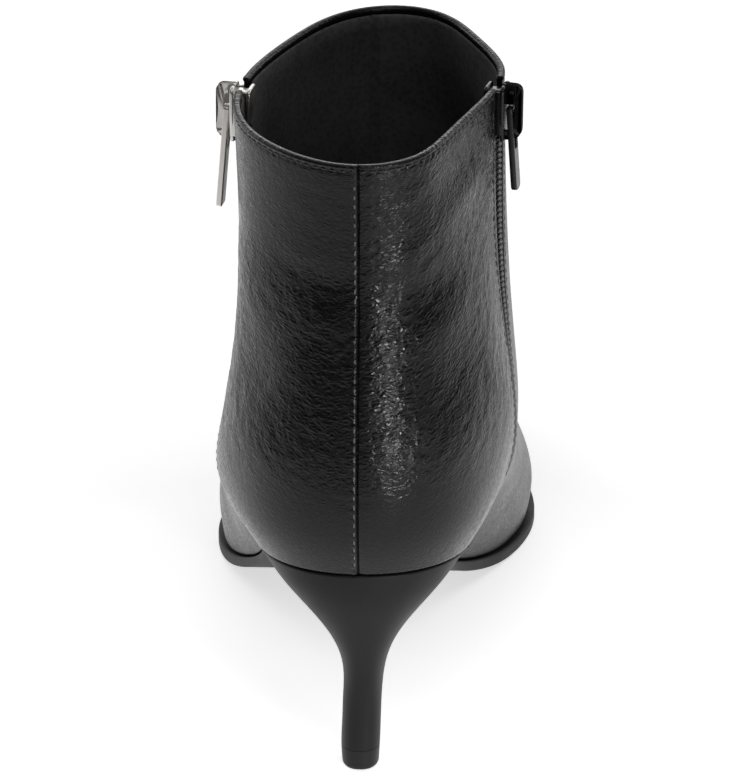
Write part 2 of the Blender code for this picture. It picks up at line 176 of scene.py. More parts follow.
def edge_spaced(length: float, spacing: float, edge: Sequence[float]) -> Array:
    """Shares from 0 to 1 along a length, closer together at both ends.

    Args:
        length: length in millimetres.
        spacing: usual step in millimetres.
        edge: distances from an end, in millimetres, at which the first places lie.

    Returns:
        An odd number of shares, so that every second one starts and ends at an edge.
    """
    near = np.asarray(edge, float)
    count = int((length - 2 * near[-1]) / spacing) // 2 * 2 + 1
    middle = np.linspace(near[-1], length - near[-1], count)
    return np.concatenate([near[:-1], middle, (length - near[:-1])[::-1]]) / length


def run_length(points: Array) -> Array:
    """Distance along a line of points from its first one."""
    return np.pad(np.cumsum(np.linalg.norm(np.diff(points, axis=0), axis=-1)), (1, 0))


def between(first: Array, last: Array, share: Array) -> Array:
    """Rows of values, each spread from its first to its last value by the same shares."""
    return first[:, None] + (last - first)[:, None] * share[None, :]


def grid_faces(
    rows: int, columns: int, start: int = 0, wrap_rows: bool = False, wrap_columns: bool = False
) -> Array:
    """Quads of a grid of points stored row by row, facing along columns cross rows.

    Args:
        rows: number of rows.
        columns: number of points in a row.
        start: number of the grid's first point.
        wrap_rows: whether the last row joins the first.
        wrap_columns: whether each row is a closed ring.

    Returns:
        Array of four point numbers to a face.
    """
    i = np.arange(rows if wrap_rows else rows - 1)[:, None]
    j = np.arange(columns if wrap_columns else columns - 1)[None, :]
    row, next_row = i * columns, (i + 1) % rows * columns
    ahead = (j + 1) % columns
    quads = np.stack(np.broadcast_arrays(row + j, row + ahead, next_row + ahead, next_row + j), -1)
    return quads.reshape(-1, 4) + start


def closed_rings(rings: Array, low: Sequence[float], high: Sequence[float]) -> Shape:
    """Closed shape from rings, with a middle point on each end.

    Args:
        rings: rings by points by 3, anticlockwise seen from the last ring's end.
        low: middle point of the first end.
        high: middle point of the last end.

    Returns:
        Points, the two middle points last, and faces.
    """
    count, size = rings.shape[:2]
    ring = np.arange(size)
    ahead = np.roll(ring, -1)
    last = (count - 1) * size
    faces = grid_faces(count, size, wrap_columns=True).tolist()
    faces += np.column_stack([ahead, ring, np.full(size, count * size)]).tolist()
    faces += np.column_stack([last + ring, last + ahead, np.full(size, count * size + 1)]).tolist()
    return np.concatenate([rings.reshape(-1, 3), [low, high]]), faces


def put_piece(name: str, points: Array, faces: Faces, finish: Material, weld: bool = False) -> Piece:
    """Object at the origin from points in millimetres, smooth shaded.

    Args:
        name: name of the piece.
        points: array of points, any shape that ends in 3.
        faces: point numbers of each face.
        finish: material of the piece.
        weld: whether points that fall together are joined and the faces turned outward.

    Returns:
        The linked object.
    """
    mesh = bpy.data.meshes.new(name)
    places = (np.asarray(points, float).reshape(-1, 3) - ORIGIN) * MM
    mesh.from_pydata(places.tolist(), [], faces)
    mesh.materials.append(finish)
    piece = bpy.data.objects.new(name, mesh)
    bpy.context.scene.collection.objects.link(piece)
    if weld:
        work = bmesh.new()
        work.from_mesh(mesh)
        bmesh.ops.remove_doubles(work, verts=work.verts, dist=WELD)
        bmesh.ops.dissolve_degenerate(work, edges=work.edges, dist=WELD / 10)
        bmesh.ops.recalc_face_normals(work, faces=work.faces)
        work.to_mesh(mesh)
        work.free()
    mesh.shade_smooth()
    mesh.update()
    return piece


def settle(piece: Piece, body: Body, slot: Slot, *nodes: str) -> None:
    """Let a piece ride on its body and stand for its solids.

    Args:
        piece: finished piece.
        body: body that carries it.
        slot: material slot of the record; not used.
        nodes: names of the solids that it stands for.
    """
    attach(piece, body.value)
    if nodes:
        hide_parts(*nodes)
    piece.data.calc_loop_triangles()
    LOG.info("%s: %d triangles on %s", piece.name, len(piece.data.loop_triangles), body.value)


def thin_shell(outer: Array, inner: Array) -> Shape:
    """Closed sheet between a fine outer grid and every second point of an inner grid.

    Args:
        outer: rows by columns by 3, with odd counts, facing along columns cross rows.
        inner: the same grid moved inward.

    Returns:
        Points, outer grid first, and faces with a band of five-sided faces round the edge.
    """
    rows, columns = outer.shape[:2]
    coarse = inner[::2, ::2]
    inner_rows, inner_columns = coarse.shape[:2]
    first = rows * columns

    def border(r: int, c: int, start: int) -> Array:
        """Point numbers once round the edge of a grid."""
        n = np.arange(r * c).reshape(r, c) + start
        return np.concatenate([n[0, :-1], n[:-1, -1], n[-1, :0:-1], n[:0:-1, 0]])

    out_loop = border(rows, columns, 0)
    in_loop = border(inner_rows, inner_columns, first)
    ahead = np.roll(out_loop, -2)[::2]
    band = np.stack([out_loop[1::2], out_loop[::2], in_loop, np.roll(in_loop, -1), ahead], axis=-1)
    faces = grid_faces(rows, columns).tolist()
    faces += grid_faces(inner_rows, inner_columns, first)[:, ::-1].tolist()
    faces += band.tolist()
    return np.concatenate([outer.reshape(-1, 3), coarse.reshape(-1, 3)]), faces


def rounded_outline(corners: Sequence[Sequence[float]], radii: Sequence[float], steps: int = 6) -> Array:
    """Closed outline whose corners are parabolas between two points at their radius from the corner.

    Args:
        corners: corner points, anticlockwise.
        radii: radius of each corner.
        steps: points along each corner.

    Returns:
        Array of points, corner by corner.
    """
    c = np.asarray(corners, float)
    r = np.asarray(radii, float)[:, None]
    a = c + unit(np.roll(c, 1, axis=0) - c) * r
    b = c + unit(np.roll(c, -1, axis=0) - c) * r
    w = np.linspace(0.0, 1.0, steps)[None, :, None]
    curve = (1 - w) ** 2 * a[:, None] + 2 * w * (1 - w) * c[:, None] + w**2 * b[:, None]
    return curve.reshape(-1, 2)


def inset_outline(outline: Array, inset: float) -> Array:
    """Anticlockwise outline moved inward, square to itself.

    Args:
        outline: points of the outline.
        inset: distance inward.

    Returns:
        Points of the moved outline.
    """
    along = np.roll(outline, -1, axis=0) - np.roll(outline, 1, axis=0)
    outward = unit(np.stack([along[:, 1], -along[:, 0]], axis=-1))
    return outline - outward * inset


def edge_profile(radius: float, steps: int, flat: float) -> tuple[Array, Array]:
    """Section over both edges of a plate: two quarter circles, with a point before and after on the faces.

    Args:
        radius: radius of the edges.
        steps: points round each edge.
        flat: how far in the points on the faces lie, in radii.

    Returns:
        Inset of each point from the outline, and its height from the nearer face.
    """
    turn = np.linspace(0.0, math.pi / 2, steps)
    low, high = radius * (1 - np.sin(turn)), radius * (1 - np.cos(turn))
    inset = np.concatenate([[radius * flat], low, high, [radius * flat]])
    return inset, np.concatenate([[0.0], high, -low, [0.0]])


def edge_rings(
    outline: Array, low: float, high: float, radius: float, steps: int = 4, flat: float = 1.2
) -> Array:
    """Rings up the side of a plate whose two edges are quarter circles.

    Args:
        outline: anticlockwise outline; a hole's outline runs clockwise.
        low: depth of the lower face.
        high: depth of the upper face.
        radius: radius of the edges.
        steps: rings round each edge.
        flat: how far in the rings on the faces lie, in radii.

    Returns:
        Rings by points by (first, second, depth), from the lower face to the upper one.
    """
    insets, lift = edge_profile(radius, steps, flat)
    depths = np.repeat([low, high], steps + 1) + lift
    size = len(outline)
    rings = [np.column_stack([inset_outline(outline, i), np.full(size, d)]) for i, d in zip(insets, depths)]
    return np.array(rings)


def plate(outline: Array, low: float, high: float, radius: float) -> Shape:
    """Solid plate with rounded edges and a middle point on each face.

    Args:
        outline: anticlockwise outline.
        low: depth of the lower face.
        high: depth of the upper face.
        radius: radius of the edges.

    Returns:
        Points as (first, second, depth) and faces.
    """
    middle = outline.mean(axis=0)
    return closed_rings(edge_rings(outline, low, high, radius), (*middle, low), (*middle, high))


def plate_with_hole(outline: Array, hole: Array, low: float, high: float, radius: float) -> Shape:
    """Plate with one hole, whose outline and hole have the same number of points in step.

    Args:
        outline: anticlockwise outline.
        hole: anticlockwise outline of the hole.
        low: depth of the lower face.
        high: depth of the upper face.
        radius: radius of all edges.

    Returns:
        Points as (first, second, depth) and faces, closed both ways like a tyre.
    """
    outside = edge_rings(outline, low, high, radius)
    inside = edge_rings(hole[::-1], low, high, radius)[:, ::-1]
    rings = np.concatenate([outside, inside[::-1]])
    faces = grid_faces(*rings.shape[:2], wrap_rows=True, wrap_columns=True)
    return rings.reshape(-1, 3), faces.tolist()


def repeated(template: Array, faces: Faces, centres: Array, axes: Array) -> Shape:
    """Copies of a small shape, one at each centre.

    Args:
        template: points of the shape in its own three directions.
        faces: faces of the shape.
        centres: place of each copy.
        axes: the three directions of each copy, as rows.

    Returns:
        Points and faces of all copies.
    """
    points = centres[:, None] + np.einsum("pk,nkx->npx", template, axes)
    offset = np.arange(len(centres)) * len(template)
    joined: Faces = []
    for face in faces:
        joined += (np.asarray(face)[None, :] + offset[:, None]).tolist()
    return points.reshape(-1, 3), joined


def grain_of_rice(
    half_length: float, width: float, height: float, arch: float, along: int = 7, around: int = 8
) -> Shape:
    """Small rounded bar: ellipses whose size falls as the fourth root of 1 - u^2 to a point at each end.

    Args:
        half_length: half of its length, along the first direction.
        width: half width, along the second direction.
        height: half height, along the third direction.
        arch: how far its middle rises above its ends.
        along: rings along it.
        around: points round each ring.

    Returns:
        Points and faces, closed at both ends.
    """
    last_ring, end = 1.35, 1.45
    u = np.sin(np.linspace(-last_ring, last_ring, along)) / math.sin(end)
    w = np.linspace(0.0, 2 * math.pi, around, endpoint=False)
    size = (1 - u**2) ** 0.25
    lift = arch * (1 - u**2)
    x = np.broadcast_to((u * half_length)[:, None], (along, around))
    y = width * size[:, None] * np.cos(w)[None]
    z = lift[:, None] + height * size[:, None] * np.sin(w)[None]
    return closed_rings(np.stack([x, y, z], -1), (-half_length, 0.0, 0.0), (half_length, 0.0, 0.0))


class NodeBench:
    """Node tree of one material, with short calls to add and join its nodes."""

    def __init__(self, name: str) -> None:
        """Start a material with a plain Principled shader.

        Args:
            name: name of the material.
        """
        self.material = bpy.data.materials.new(name)
        self.material.use_nodes = True
        self.tree = self.material.node_tree
        self.shader = self.tree.nodes["Principled BSDF"]

    def add(self, kind: str, sockets: Optional[dict] = None, **settings: object) -> bpy.types.Node:
        """Add a node.

        Args:
            kind: Blender's name of the node.
            sockets: values of input sockets, or output sockets to link to them, by name or number.
            settings: properties of the node.

        Returns:
            The new node.
        """
        node = self.tree.nodes.new(kind)
        for key, value in settings.items():
            setattr(node, key, value)
        for key, value in (sockets or {}).items():
            self.feed(node.inputs[key], value)
        return node

    def feed(self, socket: Socket, value: object) -> None:
        """Link an output to a socket, or set the socket's own value.

        Args:
            socket: input socket.
            value: output socket, or the value to set.
        """
        if isinstance(value, Socket):
            self.tree.links.new(value, socket)
        else:
            socket.default_value = value

    def set(self, **values: object) -> None:
        """Feed sockets of the shader, with _ for each space in their names."""
        for key, value in values.items():
            self.feed(self.shader.inputs[key.replace("_", " ")], value)

    def math(self, operation: str, first: object, second: object = 0.0) -> Socket:
        """Result of a sum, product or other simple operation."""
        return self.add("ShaderNodeMath", {0: first, 1: second}, operation=operation).outputs[0]

    def vector(self, operation: str, sockets: dict, output: str = "Vector") -> Socket:
        """Result of an operation on vectors."""
        return self.add("ShaderNodeVectorMath", sockets, operation=operation).outputs[output]

    def span(self, value: object, low: float, high: float, to_low: float, to_high: float) -> Socket:
        """Value carried from one range to another and held within it."""
        sockets = {"Value": value, "From Min": low, "From Max": high, "To Min": to_low, "To Max": to_high}
        return self.add("ShaderNodeMapRange", sockets).outputs["Result"]

    def spread(self, noise: object, to_low: float, to_high: float) -> Socket:
        """Noise carried from the range that it usually fills."""
        return self.span(noise, *NOISE_RANGE, to_low, to_high)

    def scaled(self, vector: object, scale: Sequence[float]) -> Socket:
        """Coordinates stretched by a scale for each direction."""
        return self.add("ShaderNodeMapping", {"Vector": vector, "Scale": tuple(scale)}).outputs["Vector"]

    def place(self) -> Socket:
        """Object coordinates, in metres."""
        return self.add("ShaderNodeTexCoord").outputs["Object"]

    def surface(self) -> Socket:
        """The piece's own map that follows its leather, one unit to a centimetre."""
        return self.add("ShaderNodeUVMap", uv_map=SURFACE_MAP).outputs["UV"]

    def noise(self, vector: object, scale: float, detail: float = 2.0, distortion: float = 0.0) -> Socket:
        """Soft noise from 0 to 1."""
        sockets = {"Vector": vector, "Scale": scale, "Detail": detail, "Distortion": distortion}
        return self.add("ShaderNodeTexNoise", sockets).outputs["Fac"]

    def cells(self, vector: object, scale: float, feature: str = "F1") -> Socket:
        """Distance inside cells, as in a pebbled grain."""
        sockets = {"Vector": vector, "Scale": scale}
        return self.add("ShaderNodeTexVoronoi", sockets, feature=feature).outputs["Distance"]

    def bump(
        self, height: object, distance: float, strength: object = 1.0, under: Optional[Socket] = None
    ) -> Socket:
        """Normal of a relief, laid over another one where given.

        Args:
            height: relief from 0 to 1.
            distance: height of the whole relief, in metres.
            strength: share of the relief that shows.
            under: normal of the relief beneath.

        Returns:
            Socket of the normal.
        """
        sockets = {"Height": height, "Distance": distance, "Strength": strength}
        if under is not None:
            sockets["Normal"] = under
        return self.add("ShaderNodeBump", sockets).outputs["Normal"]

    def blend(self, share: object, first: Colour, second: Colour) -> Socket:
        """Colour between two colours."""
        sockets = {"Factor": share, 6: (*first, 1.0), 7: (*second, 1.0)}
        return self.add("ShaderNodeMix", sockets, data_type="RGBA").outputs[2]


class GrainMap(Enum):
    """What a leather's grain follows: the piece's own map, or its place in space where the map slants."""

    SURFACE = "surface"
    SPACE = "space"


@dataclass(frozen=True)
class LeatherFinish:
    """Glossy black leather with a crinkled grain that is drawn out in one direction."""

    name: str = "glossy_leather"
    dark: Colour = (0.0025, 0.0025, 0.0027)
    light: Colour = (0.0060, 0.0060, 0.0066)
    low_roughness: float = 0.2
    high_roughness: float = 0.36
    crinkle_scale: float = 6.0
    grain_scale: float = 10.5
    crinkle_depth: float = 0.00012
    grain_depth: float = 0.000075
    gloss: float = 0.28
    grain_map: GrainMap = GrainMap.SURFACE
    grain_stretch: Place = (0.45, 1.0, 1.0)
    fold_stretch: Place = (0.5, 1.0, 1.0)
    fold_gain: float = 2.6
    fold_stir: float = 0.3
    sway_scale: float = 5.0
    sway: float = 0.16
    crack_width: float = 0.32
    calm_grain: float = 0.12
    pore_scale: float = 60.0
    pore_depth: float = 0.000008
    pore_share: float = 0.5
    patch_scale: float = 0.8
    patch_gloss: float = 0.05
    patch_tone: float = 0.6
    # Painted shade: share of the base colour left in the grain's cracks.
    crack_shade: float = 0.2
    tone_from: float = 0.8
    gloss_from: float = 0.7
    coat: float = 0.02
    coat_roughness: float = 0.15

    def ground(self, bench: NodeBench) -> Socket:
        """Coordinates that the grain follows, one unit to a centimetre.

        Args:
            bench: node tree of the leather.

        Returns:
            Socket of the coordinates.
        """
        if self.grain_map is GrainMap.SURFACE:
            return bench.surface()
        return bench.scaled(bench.place(), (1 / (MAP_UNIT * MM),) * 3)

    def material(self) -> Material:
        """Pebbles between fine cracks with painted shade in them, drawn out along the leather and stirred by
        noise, over soft crinkles.

        Returns:
            The material.
        """
        bench = NodeBench(self.name)
        surface = self.ground(bench)
        mask = bench.add("ShaderNodeAttribute", attribute_name=CRINKLE).outputs["Fac"]
        sockets = {"Vector": surface, "Scale": self.sway_scale, "Detail": 2.0}
        sway = bench.add("ShaderNodeTexNoise", sockets).outputs["Color"]
        stirred = bench.vector("ADD", {0: surface, 1: bench.vector("SCALE", {0: sway, "Scale": self.sway})})
        crack = bench.cells(bench.scaled(stirred, self.grain_stretch), self.grain_scale, "DISTANCE_TO_EDGE")
        pebble = bench.span(crack, 0.0, self.crack_width, 0.0, 1.0)
        drawn = bench.scaled(stirred, self.fold_stretch)
        folds = bench.noise(drawn, self.crinkle_scale, distortion=self.fold_stir)
        ridge = bench.math("ABSOLUTE", bench.math("SUBTRACT", folds, 0.5))
        ridge = bench.math("MULTIPLY", ridge, self.fold_gain)
        pores = bench.noise(surface, self.pore_scale)
        patches = bench.noise(surface, self.patch_scale, 3.0)
        relief = bench.bump(ridge, self.crinkle_depth, mask)
        shown = bench.span(mask, 0.0, 1.0, self.calm_grain, 1.0)
        relief = bench.bump(pebble, self.grain_depth, shown, relief)
        relief = bench.bump(pores, self.pore_depth, self.pore_share, relief)
        # Painted shade: the base colour darkens into the grain's cracks, and varies at random by patches.
        tone = bench.span(pebble, 0.0, self.tone_from, self.crack_shade, 1.0)
        tone = bench.math("MULTIPLY", tone, bench.spread(patches, self.patch_tone, 1.0))
        gloss = bench.span(pebble, 0.0, self.gloss_from, self.high_roughness, self.low_roughness)
        gloss = bench.math("ADD", gloss, bench.spread(patches, -self.patch_gloss, self.patch_gloss))
        bench.set(Base_Color=bench.blend(tone, self.dark, self.light), Roughness=gloss, Normal=relief)
        bench.set(Coat_Weight=self.coat, Coat_Roughness=self.coat_roughness, Specular_IOR_Level=self.gloss)
        return bench.material


@dataclass(frozen=True)
class DullFinish:
    """Dull black surface with a fine relief: lining, heel cover, sole edge and tip."""

    name: str
    dark: Colour
    light: Colour
    roughness: float
    grain: float
    relief: float
    stretch: Place = (1.0, 1.0, 1.0)
    gloss: float = 0.25
    cloud_share: float = 0.06
    fine_share: float = 2.5
    cell_share: float = -0.6
    cloud_tone: float = 0.6
    cell_tone: float = 0.4
    relief_share: float = 0.7
    smoother: float = 0.05
    rougher: float = 0.06

    def material(self) -> Material:
        """Fine cells and clouds read from the object's own place.

        Returns:
            The material.
        """
        bench = NodeBench(self.name)
        place = bench.scaled(bench.place(), self.stretch)
        cells = bench.cells(place, self.grain)
        clouds = bench.noise(place, self.grain * self.cloud_share, 3.0)
        fine = bench.noise(place, self.grain * self.fine_share)
        height = bench.math("ADD", bench.math("MULTIPLY", cells, self.cell_share), fine)
        cell_tone = bench.span(cells, 0.0, 0.6, 0.0, self.cell_tone)
        tone = bench.math("ADD", bench.spread(clouds, 0.0, self.cloud_tone), cell_tone)
        colour = bench.blend(tone, self.dark, self.light)
        bench.set(Base_Color=colour, Normal=bench.bump(height, self.relief, self.relief_share))
        smooth, rough = self.roughness - self.smoother, self.roughness + self.rougher
        bench.set(Roughness=bench.spread(clouds, smooth, rough))
        bench.set(Specular_IOR_Level=self.gloss)
        return bench.material


@dataclass(frozen=True)
class ThreadFinish:
    """Black thread and woven tape: twisted or woven strands in the piece's own directions."""

    name: str
    tint: Colour
    strand: float
    roughness: float = 0.62
    # Painted shade: how much lighter the strands' crests are than the valleys between them.
    light_gain: float = 2.6
    depth: float = 0.00006
    relief_share: float = 0.8
    ruffle: float = 0.6
    sheen: float = 0.15

    def material(self) -> Material:
        """Two crossing waves of strands, roughened by noise, with painted shade between the strands and
        lighter crests.

        Returns:
            The material.
        """
        bench = NodeBench(self.name)
        sockets = {"Vector": bench.place(), "Scale": self.strand, "Distortion": self.ruffle, "Detail": 1.0}
        up = bench.add("ShaderNodeTexWave", sockets, bands_direction="Z").outputs["Fac"]
        along = bench.add("ShaderNodeTexWave", sockets, bands_direction="Y").outputs["Fac"]
        weave = bench.math("MULTIPLY", up, along)
        # Painted shade: the colour follows the relief, darker between the strands and lighter on their
        # crests.
        light = tuple(self.light_gain * c for c in self.tint)
        relief = bench.bump(weave, self.depth, self.relief_share)
        bench.set(Base_Color=bench.blend(weave, self.tint, light), Normal=relief)
        bench.set(Roughness=self.roughness, Sheen_Weight=self.sheen)
        return bench.material


@dataclass(frozen=True)
class MetalFinish:
    """Plated or enamelled metal with faint handling marks."""

    name: str
    dark: Colour
    light: Colour
    metallic: float
    roughness: float
    coat: float
    haze: float = 0.12
    mark_scale: float = 2600.0
    mark_depth: float = 0.00001
    mark_share: float = 0.25
    mark_stretch: Place = (1.0, 1.0, 0.12)
    cloud_scale: float = 240.0
    coat_roughness: float = 0.08
    gloss: float = 0.3

    def material(self) -> Material:
        """Fine scratches along the part and cloudy gloss.

        Returns:
            The material.
        """
        bench = NodeBench(self.name)
        place = bench.place()
        marks = bench.noise(bench.scaled(place, self.mark_stretch), self.mark_scale)
        clouds = bench.noise(place, self.cloud_scale)
        colour = bench.blend(clouds, self.dark, self.light)
        bench.set(Base_Color=colour, Normal=bench.bump(marks, self.mark_depth, self.mark_share))
        bench.set(Roughness=bench.spread(clouds, self.roughness, self.roughness + self.haze))
        bench.set(Metallic=self.metallic, Coat_Weight=self.coat)
        bench.set(Coat_Roughness=self.coat_roughness, Specular_IOR_Level=self.gloss)
        return bench.material


@dataclass(frozen=True)
class PaintedGlow:
    """Round patch of floor that glows as painted light, strongest in its middle."""

    strength: float
    middle: Place
    near: float
    far: float

    def share(self, bench: NodeBench, place: Socket) -> Socket:
        """Strength that falls from the near to the far distance from the patch's middle.

        Args:
            bench: node tree of the floor.
            place: coordinates in metres.

        Returns:
            Socket of the strength.
        """
        distance = bench.vector("LENGTH", {0: bench.vector("SUBTRACT", {0: place, 1: self.middle})}, "Value")
        return bench.span(distance, self.near, self.far, self.strength, 0.0)


@dataclass(frozen=True)
class FloorFinish:
    """Plain pale studio table, with a painted glow round the boot and painted shade behind the camera."""

    name: str = "pale_floor"
    tint: Colour = (0.86, 0.86, 0.86)
    # Painted shade: the floor's colour darkens towards this grey from 0.3 m to 1 m behind the boot, towards
    # the camera.
    painted_shade: Colour = (0.3, 0.3, 0.3)
    painted_shade_from: float = -0.3
    painted_shade_to: float = -1.0
    fibre_scale: float = 30.0
    fibre_share: float = 0.02
    roughness: float = 0.75
    gloss: float = 0.2
    # Painted light: a wide glow that keeps the floor pale round the boot, and one that fills the boot's
    # shadow by the heel.
    glows: tuple[PaintedGlow, ...] = (
        PaintedGlow(0.5, (0.0, 0.95, 0.0), 1.05, 1.7),
        PaintedGlow(0.24, (0.0, -0.09, 0.0), 0.04, 0.16),
    )

    def material(self) -> Material:
        """Matt sheet with a wide painted glow, a painted glow where the boot's shadow falls, and painted
        shade behind the camera.

        Returns:
            The material.
        """
        bench = NodeBench(self.name)
        place = bench.place()
        fibres = bench.math("MULTIPLY", bench.noise(place, self.fibre_scale, 3.0), self.fibre_share)
        y = bench.add("ShaderNodeSeparateXYZ", {0: place}).outputs["Y"]
        # Painted shade: darker from 0.3 m to 1 m towards the camera, with faint fibres.
        shade = bench.math("ADD", bench.span(y, self.painted_shade_from, self.painted_shade_to, 0.0, 1.0), fibres)
        # Painted light: the floor glows round the boot and where its shadow falls by the heel.
        shares = [glow.share(bench, place) for glow in self.glows]
        glow = reduce(lambda total, share: bench.math("ADD", total, share), shares)
        bench.set(Base_Color=bench.blend(shade, self.tint, self.painted_shade))
        bench.set(Roughness=self.roughness, Specular_IOR_Level=self.gloss)
        bench.set(Emission_Color=(1.0, 1.0, 1.0, 1.0), Emission_Strength=glow)
        return bench.material


LEATHER = LeatherFinish()
VAMP_LEATHER = LeatherFinish(
    "vamp_leather", low_roughness=0.26, high_roughness=0.4, gloss=0.22, grain_map=GrainMap.SPACE
)
LINING = DullFinish("matt_lining", (0.034, 0.034, 0.034), (0.12, 0.12, 0.12), 0.9, 700.0, 0.00012, gloss=0.03)
HEEL_COVER = DullFinish(
    "dull_heel_cover", (0.006, 0.006, 0.0062), (0.010, 0.010, 0.0104), 0.5, 1500.0, 0.00003
)
SOLE_EDGE = DullFinish(
    "dull_sole_edge", (0.008, 0.008, 0.008), (0.014, 0.014, 0.014), 0.55, 900.0, 0.00004, (1.0, 1.0, 2.0)
)
TIP_RUBBER = DullFinish(
    "hard_tip_rubber", (0.010, 0.010, 0.010), (0.016, 0.016, 0.016), 0.5, 1800.0, 0.00003
)
THREAD = ThreadFinish("black_thread", (0.010, 0.010, 0.0105), 2200.0, 0.5)
# Painted highlight: the back seam's thread is painted grey, lighter than the black thread, for the glints
# along it.
PAINTED_GLINT_THREAD = ThreadFinish("seam_thread_painted_glints", (0.085, 0.085, 0.088), 2200.0, 0.32)
TAPE = ThreadFinish("woven_tape", (0.006, 0.006, 0.0065), 900.0)
COIL = MetalFinish("black_coil", (0.006, 0.006, 0.006), (0.012, 0.012, 0.012), 0.0, 0.3, 0.3)
NICKEL = MetalFinish("satin_nickel", (0.62, 0.60, 0.57), (0.74, 0.72, 0.69), 1.0, 0.27, 0.0)
ENAMEL = MetalFinish("black_enamel", (0.004, 0.004, 0.0045), (0.008, 0.008, 0.009), 0.0, 0.2, 0.15)


@dataclass(frozen=True)
class Last:
    """Foot form of the boot. Levels run from 0 at the sole to 1 at the collar."""

    bottom: tuple[Span, ...] = (
        (0.0, 55.8), (5.0, 55.4), (25.0, 53.2), (45.0, 48.2), (65.0, 38.8),
        (85.0, 26.6), (105.0, 15.6), (122.0, 8.4), (138.0, 4.4), (150.0, 3.6),
        (165.0, 3.5), (182.0, 3.5), (205.0, 4.6), (230.0, 6.9), (260.0, 10.6),
    )
    stations: Row = (0.0, 0.16, 0.40, 0.62, 0.84, 1.0)
    widths: tuple[str, ...] = ("heel", "waist", "ball", "toe")
    columns: tuple[str, ...] = (
        "level", "back_y", "back_z", "front_x", "front_y", "front_z", "back_radius", "front_radius",
        "heel_out", "heel_in", "waist_out", "waist_in", "ball_out", "ball_in", "toe_out", "toe_in",
    )
    rows: tuple[Row, ...] = (
        (0.00, 5.0, 55.4, 3.0, 253.0, 9.7, 25.0, 8.0, 26.3, 25.3, 32.0, 19.5, 43.4, 36.5, 24.0, 26.0),
        (0.14, 1.0, 65.5, 3.0, 255.5, 17.0, 27.0, 9.0, 33.0, 30.8, 37.0, 27.5, 43.8, 38.3, 24.4, 26.2),
        (0.28, 0.0, 78.0, 3.5, 238.0, 28.0, 27.0, 9.5, 35.2, 33.6, 38.0, 33.5, 41.0, 36.0, 23.4, 25.2),
        (0.42, 1.5, 92.0, 4.0, 203.0, 39.0, 26.0, 11.0, 33.2, 33.2, 36.0, 35.6, 37.0, 34.0, 22.8, 24.8),
        (0.56, 4.5, 106.5, 4.5, 166.0, 57.0, 24.0, 13.5, 30.2, 30.5, 33.0, 35.4, 32.8, 33.8, 22.3, 24.0),
        (0.70, 7.5, 121.5, 5.0, 135.5, 85.0, 22.0, 16.0, 27.4, 26.2, 31.4, 33.2, 30.4, 32.4, 21.8, 23.5),
        (0.85, 8.0, 139.0, 5.2, 112.5, 122.0, 21.0, 18.0, 25.3, 22.0, 31.0, 30.2, 29.5, 31.0, 21.0, 22.0),
        (1.00, 6.0, 157.8, 5.2, 98.0, 167.7, 20.0, 19.0, 24.2, 19.0, 31.8, 27.6, 28.8, 30.4, 20.2, 20.6),
    )
    sag_fade: float = 1.2
    zip_top_lateral: float = 50.5
    zip_top_medial: float = 53.0
    zip_foot: float = 60.0

    @property
    def sole_row(self) -> dict[str, float]:
        """Values of the lowest level, by column."""
        return dict(zip(self.columns, self.rows[0]))

    def column(self, name: str) -> Array:
        """One column of the table of levels."""
        return np.array(self.rows)[:, self.columns.index(name)]

    def level(self, name: str, v: Array) -> Array:
        """One column of the table read at level v."""
        return natural_curve(self.column("level"), self.column(name), v)

    def bottom_z(self, y: Array) -> Array:
        """Height of the underside of the upper at distance y from the back."""
        ys, zs = np.array(self.bottom).T
        return natural_curve(ys, zs, y)

    def half_width(self, v: Array, t: Array, side: Side) -> Array:
        """Width from the middle line, as 2 sqrt(t (1 - t)) times a curve through the stations' fullness.

        Args:
            v: level.
            t: share of the way from back to front.
            side: side of the boot.

        Returns:
            Width in millimetres.
        """
        suffix = "_in" if side is Side.MEDIAL else "_out"
        length = self.level("front_y", v) - self.level("back_y", v)
        controls = [np.sqrt(self.level("back_radius", v) * length / 2)]
        for station, name in zip(self.stations[1:-1], self.widths):
            controls.append(self.level(name + suffix, v) / (2 * math.sqrt(station * (1 - station))))
        controls.append(np.sqrt(self.level("front_radius", v) * length / 2))
        picks = np.eye(len(self.stations))
        fullness = sum(c * natural_curve(self.stations, pick, t) for c, pick in zip(controls, picks))
        return 2 * np.sqrt(np.maximum(t * (1 - t), 0.0)) * fullness

    def point(self, v: Array, turn: Array) -> Array:
        """Point of the upper's outer face.

        The turn is 0 at the back seam and pi at the front line, positive over the medial side. Along the foot
        a point lies the share t = (1 - cos turn) / 2 from back to front; the sole's curve fades out going up.

        Args:
            v: level.
            turn: turn round the boot.

        Returns:
            Points in millimetres.
        """
        v, turn = np.asarray(v, float), np.asarray(turn, float)
        t = (1 - np.cos(turn)) / 2
        medial = self.half_width(v, t, Side.MEDIAL)
        lateral = self.half_width(v, t, Side.LATERAL)
        back_y, back_z = self.level("back_y", v), self.level("back_z", v)
        front_y, front_z = self.level("front_y", v), self.level("front_z", v)
        sole = self.sole_row
        sole_y = sole["back_y"] + (sole["front_y"] - sole["back_y"]) * t
        chord = sole["back_z"] + (sole["front_z"] - sole["back_z"]) * t
        sag = (self.bottom_z(sole_y) - chord) * (1 - v) ** self.sag_fade
        x = self.level("front_x", v) * t**2 + np.where(np.sin(turn) >= 0, medial, -lateral)
        y = back_y + (front_y - back_y) * t
        z = back_z + (front_z - back_z) * t + sag
        return np.stack(np.broadcast_arrays(x, y, z), axis=-1)

